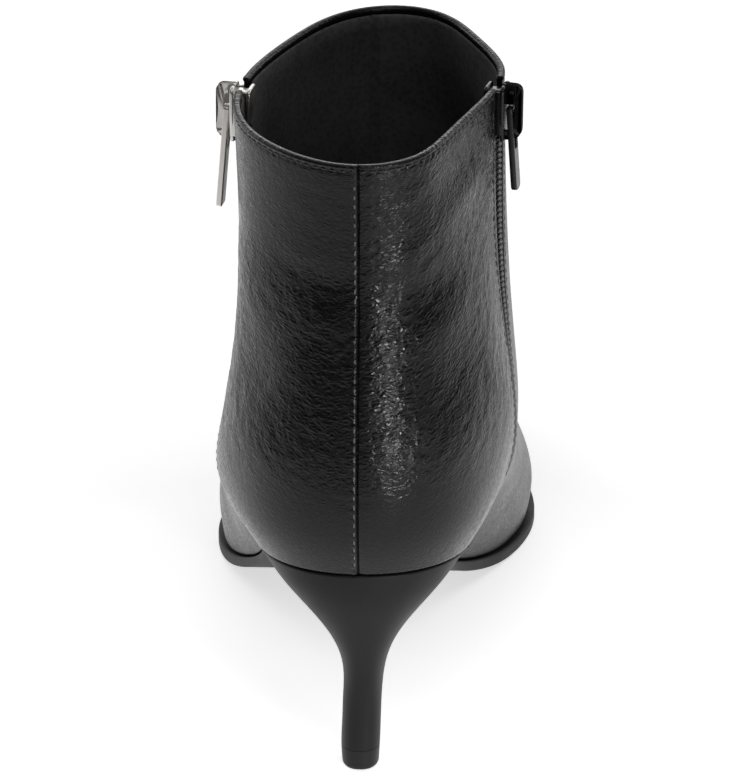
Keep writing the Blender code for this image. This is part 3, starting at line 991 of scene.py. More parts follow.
    def outward(self, v: Array, turn: Array) -> Array:
        """Direction square to the outer face, from the slopes round and up the boot.

        Args:
            v: level.
            turn: turn round the boot.

        Returns:
            Directions of length 1.
        """
        step = 0.004
        low, high = np.maximum(v - step, 0.0), np.minimum(v + step, 1.0)
        around = self.point(v, turn + step) - self.point(v, turn - step)
        return unit(np.cross(around, self.point(high, turn) - self.point(low, turn)))

    def zip_turn(self, v: Array, side: Side) -> Array:
        """Turn at which the middle line of a zip crosses a level.

        Args:
            v: level.
            side: side of the boot.

        Returns:
            Turn round the boot.
        """
        top = self.zip_top_medial if side is Side.MEDIAL else self.zip_top_lateral
        y = self.zip_foot + (top - self.zip_foot) * v
        t = (y - self.level("back_y", v)) / (self.level("front_y", v) - self.level("back_y", v))
        return np.arccos(1 - 2 * t) * side.value

    def zip_frame(self, v: Array, side: Side) -> tuple[Array, Array, Array, Array]:
        """Place on a zip's middle line with its directions.

        Args:
            v: level.
            side: side of the boot.

        Returns:
            Place, direction across to the front, direction up the zip, direction outward.
        """
        step = 0.005
        v = np.asarray(v, float)
        low, high = np.maximum(v - step, 0.0), np.minimum(v + step, 1.0)
        turn = self.zip_turn(v, side)
        up = unit(self.point(high, self.zip_turn(high, side)) - self.point(low, self.zip_turn(low, side)))
        along = self.point(v, turn + step * side.value) - self.point(v, turn - step * side.value)
        outward = unit(np.cross(up, along) * -side.value)
        return self.point(v, turn), np.cross(up, outward) * side.value, up, outward

    def beside_zip(self, v: Array, side: Side, offset: Array) -> Array:
        """Turn of a line that runs beside a zip's middle line.

        Args:
            v: level.
            side: side of the boot.
            offset: distance from the middle line to the front, in millimetres.

        Returns:
            Turn round the boot.
        """
        step = 0.01
        middle = self.zip_turn(v, side)
        along = self.point(v, middle + step * side.value) - self.point(v, middle - step * side.value)
        across = self.zip_frame(v, side)[1]
        square = np.abs((along * across).sum(axis=-1)) / (2 * step)
        return middle + side.value * offset / square


@dataclass(frozen=True)
class Crease:
    """Soft trough, or a ridge where the depth is negative, in the leather of one quarter."""

    side: Side
    height: float
    reach: float
    slope: float
    half_length: float
    half_width: float
    depth: float

    def relief(self, z: Array, reach: Array) -> Array:
        """Depth times a bell along the crease and a bell across it.

        Args:
            z: height of each point.
            reach: distance of each point from the back seam.

        Returns:
            Relief in millimetres outward.
        """
        along = (reach - self.reach) / self.half_length
        across = (z - self.height - self.slope * (reach - self.reach)) / self.half_width
        return -self.depth * np.exp(-(along**2) - across**2)


@dataclass
class Panel:
    """One cut of leather or lining, as a grid round and up the boot with its distances to each edge."""

    points: Array
    outward: Array
    from_start: Array
    from_end: Array
    from_foot: Array
    from_collar: Array

    @classmethod
    def cut(cls, last: Last, levels: Array, turns: Array) -> "Panel":
        """Cut a panel from the foot form.

        Args:
            last: foot form.
            levels: level of each row, or of each point.
            turns: turn of each point, rows by columns, rising from left to right seen from outside.

        Returns:
            The panel.
        """
        points = last.point(levels if levels.ndim == 2 else levels[:, None], turns)
        outward = unit(np.cross(np.gradient(points, axis=1), np.gradient(points, axis=0)))
        across = np.linalg.norm(np.diff(points, axis=1), axis=-1)
        up = np.linalg.norm(np.diff(points, axis=0), axis=-1)
        start = np.pad(np.cumsum(across, axis=1), ((0, 0), (1, 0)))
        foot = np.pad(np.cumsum(up, axis=0), ((1, 0), (0, 0)))
        return cls(points, outward, start, start[:, -1:] - start, foot, foot[-1:] - foot)

    @property
    def from_edge(self) -> Array:
        """Distance to the nearest edge, the foot left out."""
        return np.minimum(np.minimum(self.from_start, self.from_end), self.from_collar)


def rolled(distance: Array, radius: float) -> Array:
    """How far an edge rolls inward: a quarter circle over the last `radius` millimetres."""
    short = radius - np.minimum(distance, radius)
    return np.sqrt(np.maximum(radius**2 - short**2, 0.0)) - radius


def bell(distance: Array, width: float) -> Array:
    """Bell curve exp(-(distance / width)^2)."""
    return np.exp(-((distance / width) ** 2))


@dataclass(frozen=True)
class Bead:
    """Ridge, or a trough where the height is negative, that runs beside an edge."""

    height: float
    place: float
    width: float

    def relief(self, distance: Array) -> Array:
        """Height times a bell curve about the bead's place, in millimetres outward."""
        return self.height * bell(distance - self.place, self.width)


@dataclass
class Upper:
    """Leather quarters, vamp, lining and their stitches."""

    last: Last
    # Leather: its thickness, rolled edges and slots for the zips.
    leather: float = 1.1
    edge_roll: float = 0.5
    foot_roll: float = 0.8
    slot_half: float = 3.5
    slot_foot: float = 0.22
    slot_round: float = 0.033
    seam_gap: float = 0.04
    # Edges at the collar and zips: fold, beads, and troughs with a beat for each stitch.
    collar_fold: float = 0.65
    fold_edge: Span = (1.1, 1.9)
    collar_bead: Bead = Bead(0.12, 0.6, 0.5)
    collar_trough: Bead = Bead(-0.34, 1.5, 0.5)
    collar_beat: float = 0.3
    zip_bead: Bead = Bead(0.08, 1.1, 0.6)
    zip_trough: Bead = Bead(-0.14, 2.1, 0.4)
    zip_beat: float = 0.25
    zip_open: Span = (22.0, 27.0)
    # Back seam: the lapped side with its puckered lip, and the side under it.
    lapped_seam: Bead = Bead(-0.4, 0.0, 0.2)
    lapped_lip: Bead = Bead(0.32, 0.85, 0.5)
    lip_least: float = 0.4
    lip_even: float = 0.6
    lip_even_span: Span = (80.0, 90.0)
    under_seam: Bead = Bead(-0.4, 0.0, 0.35)
    under_dip: Bead = Bead(-0.22, 0.0, 1.9)
    # Lining: its depth behind the leather's face, thickness, edges and front seam.
    lining_depth: float = 1.5
    lining: float = 0.5
    lining_roll: float = 0.22
    lining_drop: float = 1.7
    lining_seam: float = math.pi + 0.2
    lining_radius: float = 29.0
    lining_groove: Bead = Bead(0.4, 0.0, 0.5)
    lining_lip: Bead = Bead(-0.2, 1.6, 0.8)
    lining_back_gap: float = 0.8
    lining_front_gaps: Span = (2.6, 1.6)
    # Stitches: half length, half width, half height and arch of a bar, and where the rows run.
    stitch_pitch: float = 2.3
    stitch_bar: Row = (0.84, 0.19, 0.15, 0.10)
    seam_bar: Row = (0.6, 0.22, 0.2, 0.04)
    collar_row: float = 1.5
    collar_row_gap: float = 1.4
    collar_row_sink: float = 0.12
    zip_row: float = 2.1
    zip_row_sink: float = 0.1
    zip_row_foot: float = 0.02
    zip_row_top: float = 2.4
    seam_row: float = 0.8
    seam_row_rise: float = 0.14
    seam_row_levels: Span = (0.04, 0.965)
    lining_row_levels: Span = (0.72, 0.985)
    lining_row_turn: float = 0.045
    line_points: int = 300
    collar_points: int = 400
    # Grids: usual lengths of the panels, steps between points, and places of the first points at an edge.
    nominal_height: float = 108.0
    quarter_width: float = 62.0
    vamp_width: float = 250.0
    fine: float = 0.45
    coarse: float = 0.8
    edge_steps: Row = (0.0, 0.08, 0.2, 0.36, 0.55, 0.8, 1.1, 1.5, 2.0)
    lining_rows: float = 1.2
    lining_back_step: float = 1.4
    lining_front_step: float = 0.6
    lining_steps: Row = (0.0, 0.15, 0.4, 0.8, 1.4)
    # Crinkles: where they fade, their sizes along and up the leather, and their relief.
    calm_collar: float = 6.0
    calm_zip: float = 5.0
    warp: float = 1.6
    warp_size: Span = (9.0, 8.0)
    large_fold: Span = (4.4, 2.7)
    small_fold: Span = (2.0, 1.3)
    fold_shares: Span = (0.6, 0.4)
    fold_slant: float = 0.2
    fold_seeds: tuple[int, int, int] = (3, 5, 11)
    patch_size: Span = (14.0, 12.0)
    patch_range: Span = (0.4, 1.2)
    patch_seed: int = 7
    crinkle_low: Span = (66.0, 92.0)
    crinkle_high: Span = (124.0, 138.0)
    crinkle_least: float = 0.22
    lateral_top: float = 0.35
    bow: float = 0.009
    sweep: float = 0.2
    sweep_span: Span = (80.0, 150.0)
    quarter_crinkle: float = 0.28
    vamp_crinkle: float = 0.07
    vamp_mask: Span = (0.25, 0.35)
    vamp_span: Span = (45.0, 75.0)
    # Bend at the instep.
    instep_half: float = 0.45
    instep_y: float = 150.0
    instep_slope: float = 0.2
    instep_bends: tuple[Bead, ...] = (Bead(-0.35, 62.0, 9.0), Bead(0.2, 78.0, 8.0))
    # Creases at the ankle, listed one by one.
    creases: tuple[Crease, ...] = (
        Crease(Side.LATERAL, 128.0, 9.5, -0.05, 9.0, 4.6, 0.62),
        Crease(Side.LATERAL, 118.0, 9.5, -0.15, 9.0, 4.4, -0.42),
        Crease(Side.LATERAL, 104.5, 18.0, -0.76, 9.0, 3.0, -0.28),
        Crease(Side.LATERAL, 121.0, 33.0, 0.0, 12.0, 9.0, -0.62),
        Crease(Side.LATERAL, 102.0, 31.0, 0.0, 12.0, 9.0, 0.72),
        Crease(Side.LATERAL, 85.0, 27.0, 0.0, 13.0, 8.5, -0.65),
        Crease(Side.MEDIAL, 125.5, 21.0, 0.12, 11.0, 4.6, 0.70),
        Crease(Side.MEDIAL, 114.5, 21.0, 0.10, 12.0, 4.8, -0.42),
        Crease(Side.MEDIAL, 133.5, 12.0, 0.35, 9.0, 3.2, -0.40),
        Crease(Side.MEDIAL, 143.5, 37.0, 0.25, 14.0, 4.6, -0.75),
        Crease(Side.MEDIAL, 151.5, 34.0, 0.25, 12.0, 3.6, 0.35),
        Crease(Side.MEDIAL, 103.0, 29.0, 0.0, 12.0, 8.0, 0.66),
        Crease(Side.MEDIAL, 87.0, 27.0, 0.0, 13.0, 8.5, -0.62),
    )

    def levels(self, spacing: float) -> Array:
        """Levels of a panel's rows."""
        return edge_spaced(self.nominal_height, spacing, self.edge_steps)

    def slot(self, v: Array) -> Array:
        """Half width of a zip's slot: even, with a half-round foot, and a closed seam below it."""
        drop = np.clip((self.slot_foot + self.slot_round - v) / self.slot_round, 0.0, 1.0)
        return np.maximum(self.slot_half * np.sqrt(1 - drop**2), self.seam_gap)

    def zip_edge(self, v: Array, side: Side, to_front: int, extra: float = 0.0) -> Array:
        """Turn of the leather's edge behind (-1) or in front of (1) a zip."""
        return self.last.beside_zip(v, side, to_front * (self.slot(v) + extra))

    def crinkles(self, reach: Array, height: Array) -> Array:
        """Two sizes of folded noise, 1 - |2n - 1|, drawn out along the leather and bent by a third noise.

        Args:
            reach: distance along the leather.
            height: distance up the leather.

        Returns:
            Crinkles from 0 to 1.
        """
        sizes = self.warp_size, self.large_fold, self.small_fold
        (warp_x, warp_y), (large_x, large_y), (small_x, small_y) = sizes
        first, second, third = self.fold_seeds
        bend = self.warp * lattice_noise(reach / warp_x, height / warp_y, first)
        large = lattice_noise(reach / large_x + bend * self.fold_slant, height / large_y + bend, second)
        small = lattice_noise(reach / small_x, height / small_y + bend, third)
        folds = (1 - np.abs(2 * noise - 1) for noise in (large, small))
        return sum(fold * share for fold, share in zip(folds, self.fold_shares))

    def dress(self, piece: Piece, across: Array, up: Array, mask: Array) -> None:
        """Give a leather piece its map and its crinkle mask.

        Args:
            piece: piece made by thin_shell from a grid of the arrays' shape.
            across: distance along the leather, in millimetres.
            up: distance up the leather, in millimetres.
            mask: share of crinkle.
        """
        mesh = piece.data
        both = [np.concatenate([a.ravel(), a[::2, ::2].ravel()]) for a in (across, up, mask)]
        corner = np.zeros(len(mesh.loops), np.int32)
        mesh.loops.foreach_get("vertex_index", corner)
        layer = mesh.uv_layers.new(name=SURFACE_MAP)
        uv = np.column_stack(both[:2])[corner] / MAP_UNIT
        layer.data.foreach_set("uv", uv.astype(np.float32).ravel())
        attribute = mesh.attributes.new(CRINKLE, "FLOAT", "POINT")
        attribute.data.foreach_set("value", both[2].astype(np.float32))

    def shell_piece(self, name: str, panel: Panel, relief: Array, finish: Material) -> Piece:
        """Closed sheet of leather with rolled edges, folded over at the collar.

        Args:
            name: name of the piece.
            panel: cut of the sheet.
            relief: how far each point stands out from the cut.
            finish: leather.

        Returns:
            The piece.
        """
        fold = self.collar_fold * (1 - smooth_step(*self.fold_edge, panel.from_collar))
        depth = self.leather + fold + rolled(panel.from_edge, self.edge_roll)
        outer = panel.points + panel.outward * relief[..., None]
        inner = panel.points - panel.outward * depth[..., None]
        return put_piece(name, *thin_shell(outer, inner), finish)

    def beat(self, distance: Array, share: float) -> Array:
        """Wave along a stitch row, from 1 - 2 share to 1 and back with every stitch."""
        return (1 - share) + share * np.cos(2 * math.pi / self.stitch_pitch * distance)

    def leather_relief(
        self, panel: Panel, seam: Optional[Array], zip_edge: Array, lapped: bool = False
    ) -> Array:
        """Edges, seams and stitch rows of a leather panel, in millimetres outward.

        The collar and zip edges roll in over a turned edge; a trough holds each stitch row, with a dimple
        under every stitch; the foot rolls in over the sole. At the back seam the lateral quarter laps over
        with a puckered lip and the medial quarter dips beside it.

        Args:
            panel: cut of the leather.
            seam: distance from the back seam, or None.
            zip_edge: distance from the nearest zip edge.
            lapped: whether the panel is the upper side of the back seam.

        Returns:
            Relief of each point.
        """
        collar, foot = panel.from_collar, panel.from_foot
        relief = rolled(collar, self.edge_roll) + rolled(zip_edge, self.edge_roll)
        relief = relief + rolled(foot, self.foot_roll)
        relief = relief + self.collar_bead.relief(collar) + self.zip_bead.relief(zip_edge)
        relief = relief + self.collar_trough.relief(collar) * self.beat(panel.from_start, self.collar_beat)
        open_zip = smooth_step(*self.zip_open, foot)
        relief = relief + open_zip * self.zip_trough.relief(zip_edge) * self.beat(foot, self.zip_beat)
        if seam is not None and lapped:
            even = self.lip_even * smooth_step(*self.lip_even_span, foot)
            pucker = 1 - self.beat(foot, 0.5) * (1 - even)
            lip = self.lip_least + (1 - self.lip_least) * pucker
            relief = relief + self.lapped_seam.relief(seam) + self.lapped_lip.relief(seam) * lip
        elif seam is not None:
            relief = relief + self.under_seam.relief(seam) + self.under_dip.relief(seam)
        return relief

    def quarter(self, side: Side, finish: Material) -> None:
        """Back quarter between the back seam and a zip, with its listed creases.

        Args:
            side: side of the boot.
            finish: leather.
        """
        levels = self.levels(self.fine)
        share = edge_spaced(self.quarter_width, self.fine, self.edge_steps)
        edge = self.zip_edge(levels, side, -1)
        turns = edge[:, None] * (share if side is Side.MEDIAL else share[::-1])[None, :]
        panel = Panel.cut(self.last, levels, turns)
        seam, zip_edge = panel.from_start, panel.from_end
        if side is Side.LATERAL:
            seam, zip_edge = zip_edge, seam
        z = panel.points[..., 2]
        relief = self.leather_relief(panel, seam, zip_edge, side is Side.LATERAL)
        calm = smooth_step(0.0, self.calm_collar, panel.from_collar)
        calm = calm * smooth_step(0.0, self.calm_zip, zip_edge)
        for crease in self.creases:
            if crease.side is side:
                relief = relief + crease.relief(z, seam) * calm
        top = self.lateral_top if side is Side.LATERAL else 1.0
        mask = smooth_step(*self.crinkle_low, z) * (1 - (1 - top) * smooth_step(*self.crinkle_high, z))
        up = panel.from_foot - self.bow * seam**2
        if side is Side.MEDIAL:
            up = up - self.sweep * seam * smooth_step(*self.sweep_span, z)
        patch_x, patch_y = self.patch_size
        least, more = self.patch_range
        patchy = least + more * lattice_noise(seam / patch_x, up / patch_y, self.patch_seed)
        relief = relief + self.quarter_crinkle * patchy * mask * calm * (self.crinkles(seam, up) - 0.5)
        piece = self.shell_piece("quarter_" + side.label, panel, relief, finish)
        self.dress(piece, seam * side.value, up, self.crinkle_least + (1 - self.crinkle_least) * mask)
        settle(piece, Body.BOOT, Slot.LEATHER, "upper")

    def vamp(self, finish: Material) -> None:
        """Front of the upper from zip to zip, round the toe and up to the collar, bent softly at the instep.

        Args:
            finish: leather.
        """
        levels = self.levels(self.coarse)
        share = edge_spaced(self.vamp_width, self.coarse, self.edge_steps)
        first = self.zip_edge(levels, Side.MEDIAL, 1)
        last = 2 * math.pi + self.zip_edge(levels, Side.LATERAL, 1)
        turns = between(first, last, share)
        panel = Panel.cut(self.last, levels, turns)
        zip_edge = np.minimum(panel.from_start, panel.from_end)
        x, y, z = (panel.points[..., n] for n in range(3))
        front = bell(np.cos(turns / 2), self.instep_half)
        slanted = z - self.instep_slope * (y - self.instep_y)
        relief = self.leather_relief(panel, None, zip_edge)
        relief = relief + front * sum(bend.relief(slanted) for bend in self.instep_bends)
        least, more = self.vamp_mask
        mask = least + more * smooth_step(*self.vamp_span, z)
        calm = smooth_step(0.0, self.calm_zip, zip_edge)
        relief = relief + self.vamp_crinkle * mask * calm * (self.crinkles(y, z + x) - 0.5)
        piece = self.shell_piece("vamp", panel, relief, finish)
        self.dress(piece, panel.from_start, panel.from_foot, mask)
        settle(piece, Body.BOOT, Slot.LEATHER, "upper")

    def linings(self, finish: Material) -> None:
        """Lining behind the leather, in a back and a front piece, a little below the collar's fold.

        Args:
            finish: lining leather.
        """
        levels = edge_spaced(self.nominal_height, self.lining_rows, self.lining_steps)
        share = edge_spaced(2 * self.quarter_width, self.lining_back_step, self.lining_steps)
        first = self.zip_edge(levels, Side.LATERAL, -1, self.lining_back_gap)
        last = self.zip_edge(levels, Side.MEDIAL, -1, self.lining_back_gap)
        self.lining_piece("lining_back", levels, between(first, last, share), finish)
        share = edge_spaced(self.vamp_width, self.lining_front_step, self.lining_steps)
        medial_gap, lateral_gap = self.lining_front_gaps
        first = self.zip_edge(levels, Side.MEDIAL, 1, medial_gap)
        last = 2 * math.pi + self.zip_edge(levels, Side.LATERAL, 1, lateral_gap)
        self.lining_piece("lining_front", levels, between(first, last, share), finish)

    def lining_piece(self, name: str, levels: Array, turns: Array, finish: Material) -> None:
        """One lining piece with rolled edges and, at the front, a closed seam.

        Args:
            name: name of the piece.
            levels: level of each row.
            turns: turn of each point.
            finish: lining leather.
        """
        top = self.below_collar(turns[-1], self.lining_drop)
        panel = Panel.cut(self.last, levels[:, None] * top[None, :], turns)
        roll = rolled(panel.from_edge, self.lining_roll)
        seam = np.abs(turns - self.lining_seam) * self.lining_radius
        groove = self.lining_groove.relief(seam) + self.lining_lip.relief(seam)
        outer = panel.points + panel.outward * (roll - self.lining_depth)[..., None]
        depth = self.lining_depth + self.lining + roll - groove
        inner = panel.points - panel.outward * depth[..., None]
        piece = put_piece(name, *thin_shell(inner[:, ::-1], outer[:, ::-1]), finish)
        settle(piece, Body.BOOT, Slot.LINING, "upper")

    def stitch_line(self, levels: Array, turns: Array, sink: float) -> Run:
        """Places and directions of stitches, one pitch apart along a line on the leather.

        Args:
            levels: level along the line, close together.
            turns: turn along the line.
            sink: depth of the line's trough.

        Returns:
            Centres, and for each the direction along, across and out.
        """
        points = self.last.point(levels, turns)
        length = run_length(points)
        count = int(length[-1] / self.stitch_pitch)
        at = (np.arange(count) + 0.5) * length[-1] / count
        v, turn = np.interp(at, length, levels), np.interp(at, length, turns)
        out = self.last.outward(v, turn)
        slopes = np.gradient(points, length, axis=0).T
        along = unit(np.stack([np.interp(at, length, slope) for slope in slopes], axis=-1))
        along = unit(along - out * (along * out).sum(axis=-1, keepdims=True))
        axes = np.stack([along, np.cross(out, along), out], axis=1)
        return self.last.point(v, turn) - out * sink, axes

    def collar_runs(self) -> list[Run]:
        """Stitches under the collar, behind the zips and in front of them.

        Returns:
            The two runs.
        """
        beside, gap = self.last.beside_zip, self.slot_half + self.collar_row_gap
        level = np.array(1 - self.collar_row / self.nominal_height)
        back = beside(level, Side.LATERAL, -gap), beside(level, Side.MEDIAL, -gap)
        front = beside(level, Side.MEDIAL, gap), 2 * math.pi + beside(level, Side.LATERAL, gap)
        runs = []
        for first, last in (back, front):
            turns = np.linspace(float(first), float(last), self.collar_points)
            levels = self.below_collar(turns, self.collar_row)
            runs.append(self.stitch_line(levels, turns, self.collar_row_sink))
        return runs

    def zip_runs(self, side: Side) -> list[Run]:
        """Stitches behind and in front of a zip.

        Args:
            side: side of the boot.

        Returns:
            The two runs.
        """
        top = 1 - self.zip_row_top / self.nominal_height
        levels = np.linspace(self.slot_foot + self.zip_row_foot, top, self.line_points)
        gap = self.slot_half + self.zip_row
        turns = [self.last.beside_zip(levels, side, to_front * gap) for to_front in (-1, 1)]
        return [self.stitch_line(levels, turn, self.zip_row_sink) for turn in turns]

    def seam_run(self) -> Run:
        """Stitches on the lip of the back seam.

        Returns:
            The run.
        """
        levels = np.linspace(*self.seam_row_levels, self.line_points)
        seam = np.zeros_like(levels)
        reach = np.linalg.norm(self.last.point(levels, seam + 1) - self.last.point(levels, seam), axis=-1)
        return self.stitch_line(levels, -self.seam_row / reach, -self.seam_row_rise)

    def lining_runs(self) -> list[Run]:
        """Stitches on both sides of the lining's front seam, turned to face into the boot.

        Returns:
            The two runs.
        """
        levels = np.linspace(*self.lining_row_levels, self.line_points)
        runs = []
        for turn in (-self.lining_row_turn, self.lining_row_turn):
            turns = np.full_like(levels, self.lining_seam + turn)
            centres, axes = self.stitch_line(levels, turns, self.lining_depth + self.lining)
            runs.append((centres, axes * np.array([1.0, -1.0, -1.0])[:, None]))
        return runs

    def sew(self, name: str, bar: Shape, runs: Sequence[Run], finish: Material) -> None:
        """Piece with a stitch at every place of some runs.

        Args:
            name: end of the piece's name.
            bar: shape of one stitch.
            runs: places and directions of the stitches.
            finish: thread.
        """
        centres, axes = (np.concatenate(part) for part in zip(*runs))
        piece = put_piece("stitches_" + name, *repeated(*bar, centres, axes), finish)
        settle(piece, Body.BOOT, Slot.TEXTILE)

    def stitches(self, finish: Material) -> None:
        """Stitch rows under the collar, beside the zips, on the back seam and on the lining's seam.

        Args:
            finish: thread of all rows but the back seam's.
        """
        bar = grain_of_rice(*self.stitch_bar)
        self.sew("collar", bar, self.collar_runs(), finish)
        for side in Side:
            self.sew("zip_" + side.label, bar, self.zip_runs(side), finish)
        # Painted highlight: the back seam's stitches take the lighter thread for their glints.
        self.sew("back_seam", grain_of_rice(*self.seam_bar), [self.seam_run()], PAINTED_GLINT_THREAD.material())
        self.sew("lining", bar, self.lining_runs(), finish)

    def below_collar(self, turns: Array, drop: float) -> Array:
        """Level that lies a drop below the collar, from the slope of the leather there.

        Args:
            turns: turn of each place.
            drop: distance below the collar, in millimetres.

        Returns:
            Level of each place.
        """
        step = 0.02
        top = self.last.point(np.ones_like(turns), turns)
        below = self.last.point(np.full_like(turns, 1 - step), turns)
        return 1 - step * drop / np.linalg.norm(top - below, axis=-1)

    def build(self) -> None:
        """Build every piece of the upper."""
        leather, lining, thread = LEATHER.material(), LINING.material(), THREAD.material()
        for side in Side:
            self.quarter(side, leather)
        self.vamp(VAMP_LEATHER.material())
        self.linings(lining)
        self.stitches(thread)


@dataclass
class Sole:
    """Outsole and insole, as sheets between two edges that meet at the toe."""

    last: Last
    gap: float = 0.3
    breast: float = 44.0
    rows: tuple[Place, ...] = (
        (40.0, 0.0, 2.4), (60.0, 0.1, 2.4), (90.0, 0.5, 2.6), (120.0, 1.2, 3.0),
        (145.0, 1.5, 3.2), (170.0, 2.1, 3.2), (200.0, 2.1, 3.2), (260.0, 1.8, 3.2),
    )
    insole_thick: float = 2.0
    insole_inset: float = 3.2
    insole_start: float = 11.5
    edge_round: float = 0.7
    edge_steps: int = 6
    edge_flat: float = 1.3
    stations: int = 180
    across: int = 16

    def edges(self, start_y: float) -> tuple[list[Array], list[Array]]:
        """Edge of the upper's underside on each side with its outward direction in plan.

        Args:
            start_y: distance from the back at which the edges start.

        Returns:
            Points and outward directions, lateral side first.
        """
        sole = self.last.sole_row
        share = (start_y - sole["back_y"]) / (sole["front_y"] - sole["back_y"])
        turns = np.linspace(math.acos(1 - 2 * share), math.pi, self.stations)
        points, outward = [], []
        for side in Side:
            step = 0.004
            line = self.last.point(0.0, turns * side.value)
            ahead = self.last.point(0.0, np.minimum(turns + step, math.pi) * side.value)
            along = (ahead - self.last.point(0.0, (turns - step) * side.value))[:, :2]
            square = unit(np.stack([along[:, 1], -along[:, 0]], axis=-1) * side.value)
            square[-1] = (0.0, 1.0)
            points.append(line[:, :2])
            outward.append(square)
        return points, outward

    def sheet(
        self, name: str, start_y: float, reach: Array, top: float, thick: Array, finish: Material
    ) -> Piece:
        """Sheet with rounded edges: a closed section across the foot, carried from its start to the toe.

        Args:
            name: name of the piece.
            start_y: distance from the back at which it starts.
            reach: how far it stands out past the upper, at the stations.
            top: height of its upper face above the upper's underside.
            thick: thickness, at the stations.
            finish: material.

        Returns:
            The piece.
        """
        points, outward = self.edges(start_y)
        inset, rise = edge_profile(self.edge_round, self.edge_steps, self.edge_flat)
        upper_half = np.arange(len(rise)) >= len(rise) // 2
        rims = []
        for line, square in zip(points, outward):
            plan = line[:, None] + square[:, None] * (reach[:, None] - inset[None])[..., None]
            y = (line + square * reach[:, None])[:, 1]
            high = self.last.bottom_z(y) + top
            low = np.maximum(high - thick, 0.0)
            z = np.where(upper_half[None], high[:, None], low[:, None]) + rise[None]
            rims.append(np.concatenate([plan, z[..., None]], axis=-1))
        lateral, medial = rims
        share = np.linspace(0.0, 1.0, self.across + 2)[None, 1:-1, None]
        top_face = lateral[:, -1:] * (1 - share) + medial[:, -1:] * share
        bottom_face = medial[:, :1] * (1 - share) + lateral[:, :1] * share
        rings = np.concatenate([lateral, top_face, medial[:, ::-1], bottom_face], axis=1)
        rows, columns = rings.shape[:2]
        faces = grid_faces(rows, columns, wrap_columns=True).tolist()
        faces.append(list(range(columns)))
        return put_piece(name, rings, faces, finish, weld=True)

    def build(self) -> None:
        """Build the outsole and the insole."""
        ys, reach, thick = np.array(self.rows).T
        line = self.edges(self.breast + self.gap)[0][0][:, 1]
        sole = self.sheet(
            "sole", self.breast + self.gap, natural_curve(ys, reach, line), -self.gap,
            natural_curve(ys, thick, line), SOLE_EDGE.material(),
        )
        settle(sole, Body.BOOT, Slot.SOLE, "outsole")
        sock = self.sheet(
            "sock_lining", self.insole_start, np.full(self.stations, -self.insole_inset), self.insole_thick,
            np.full(self.stations, self.insole_thick), LINING.material(),
        )
        settle(sock, Body.BOOT, Slot.LINING, "insole")


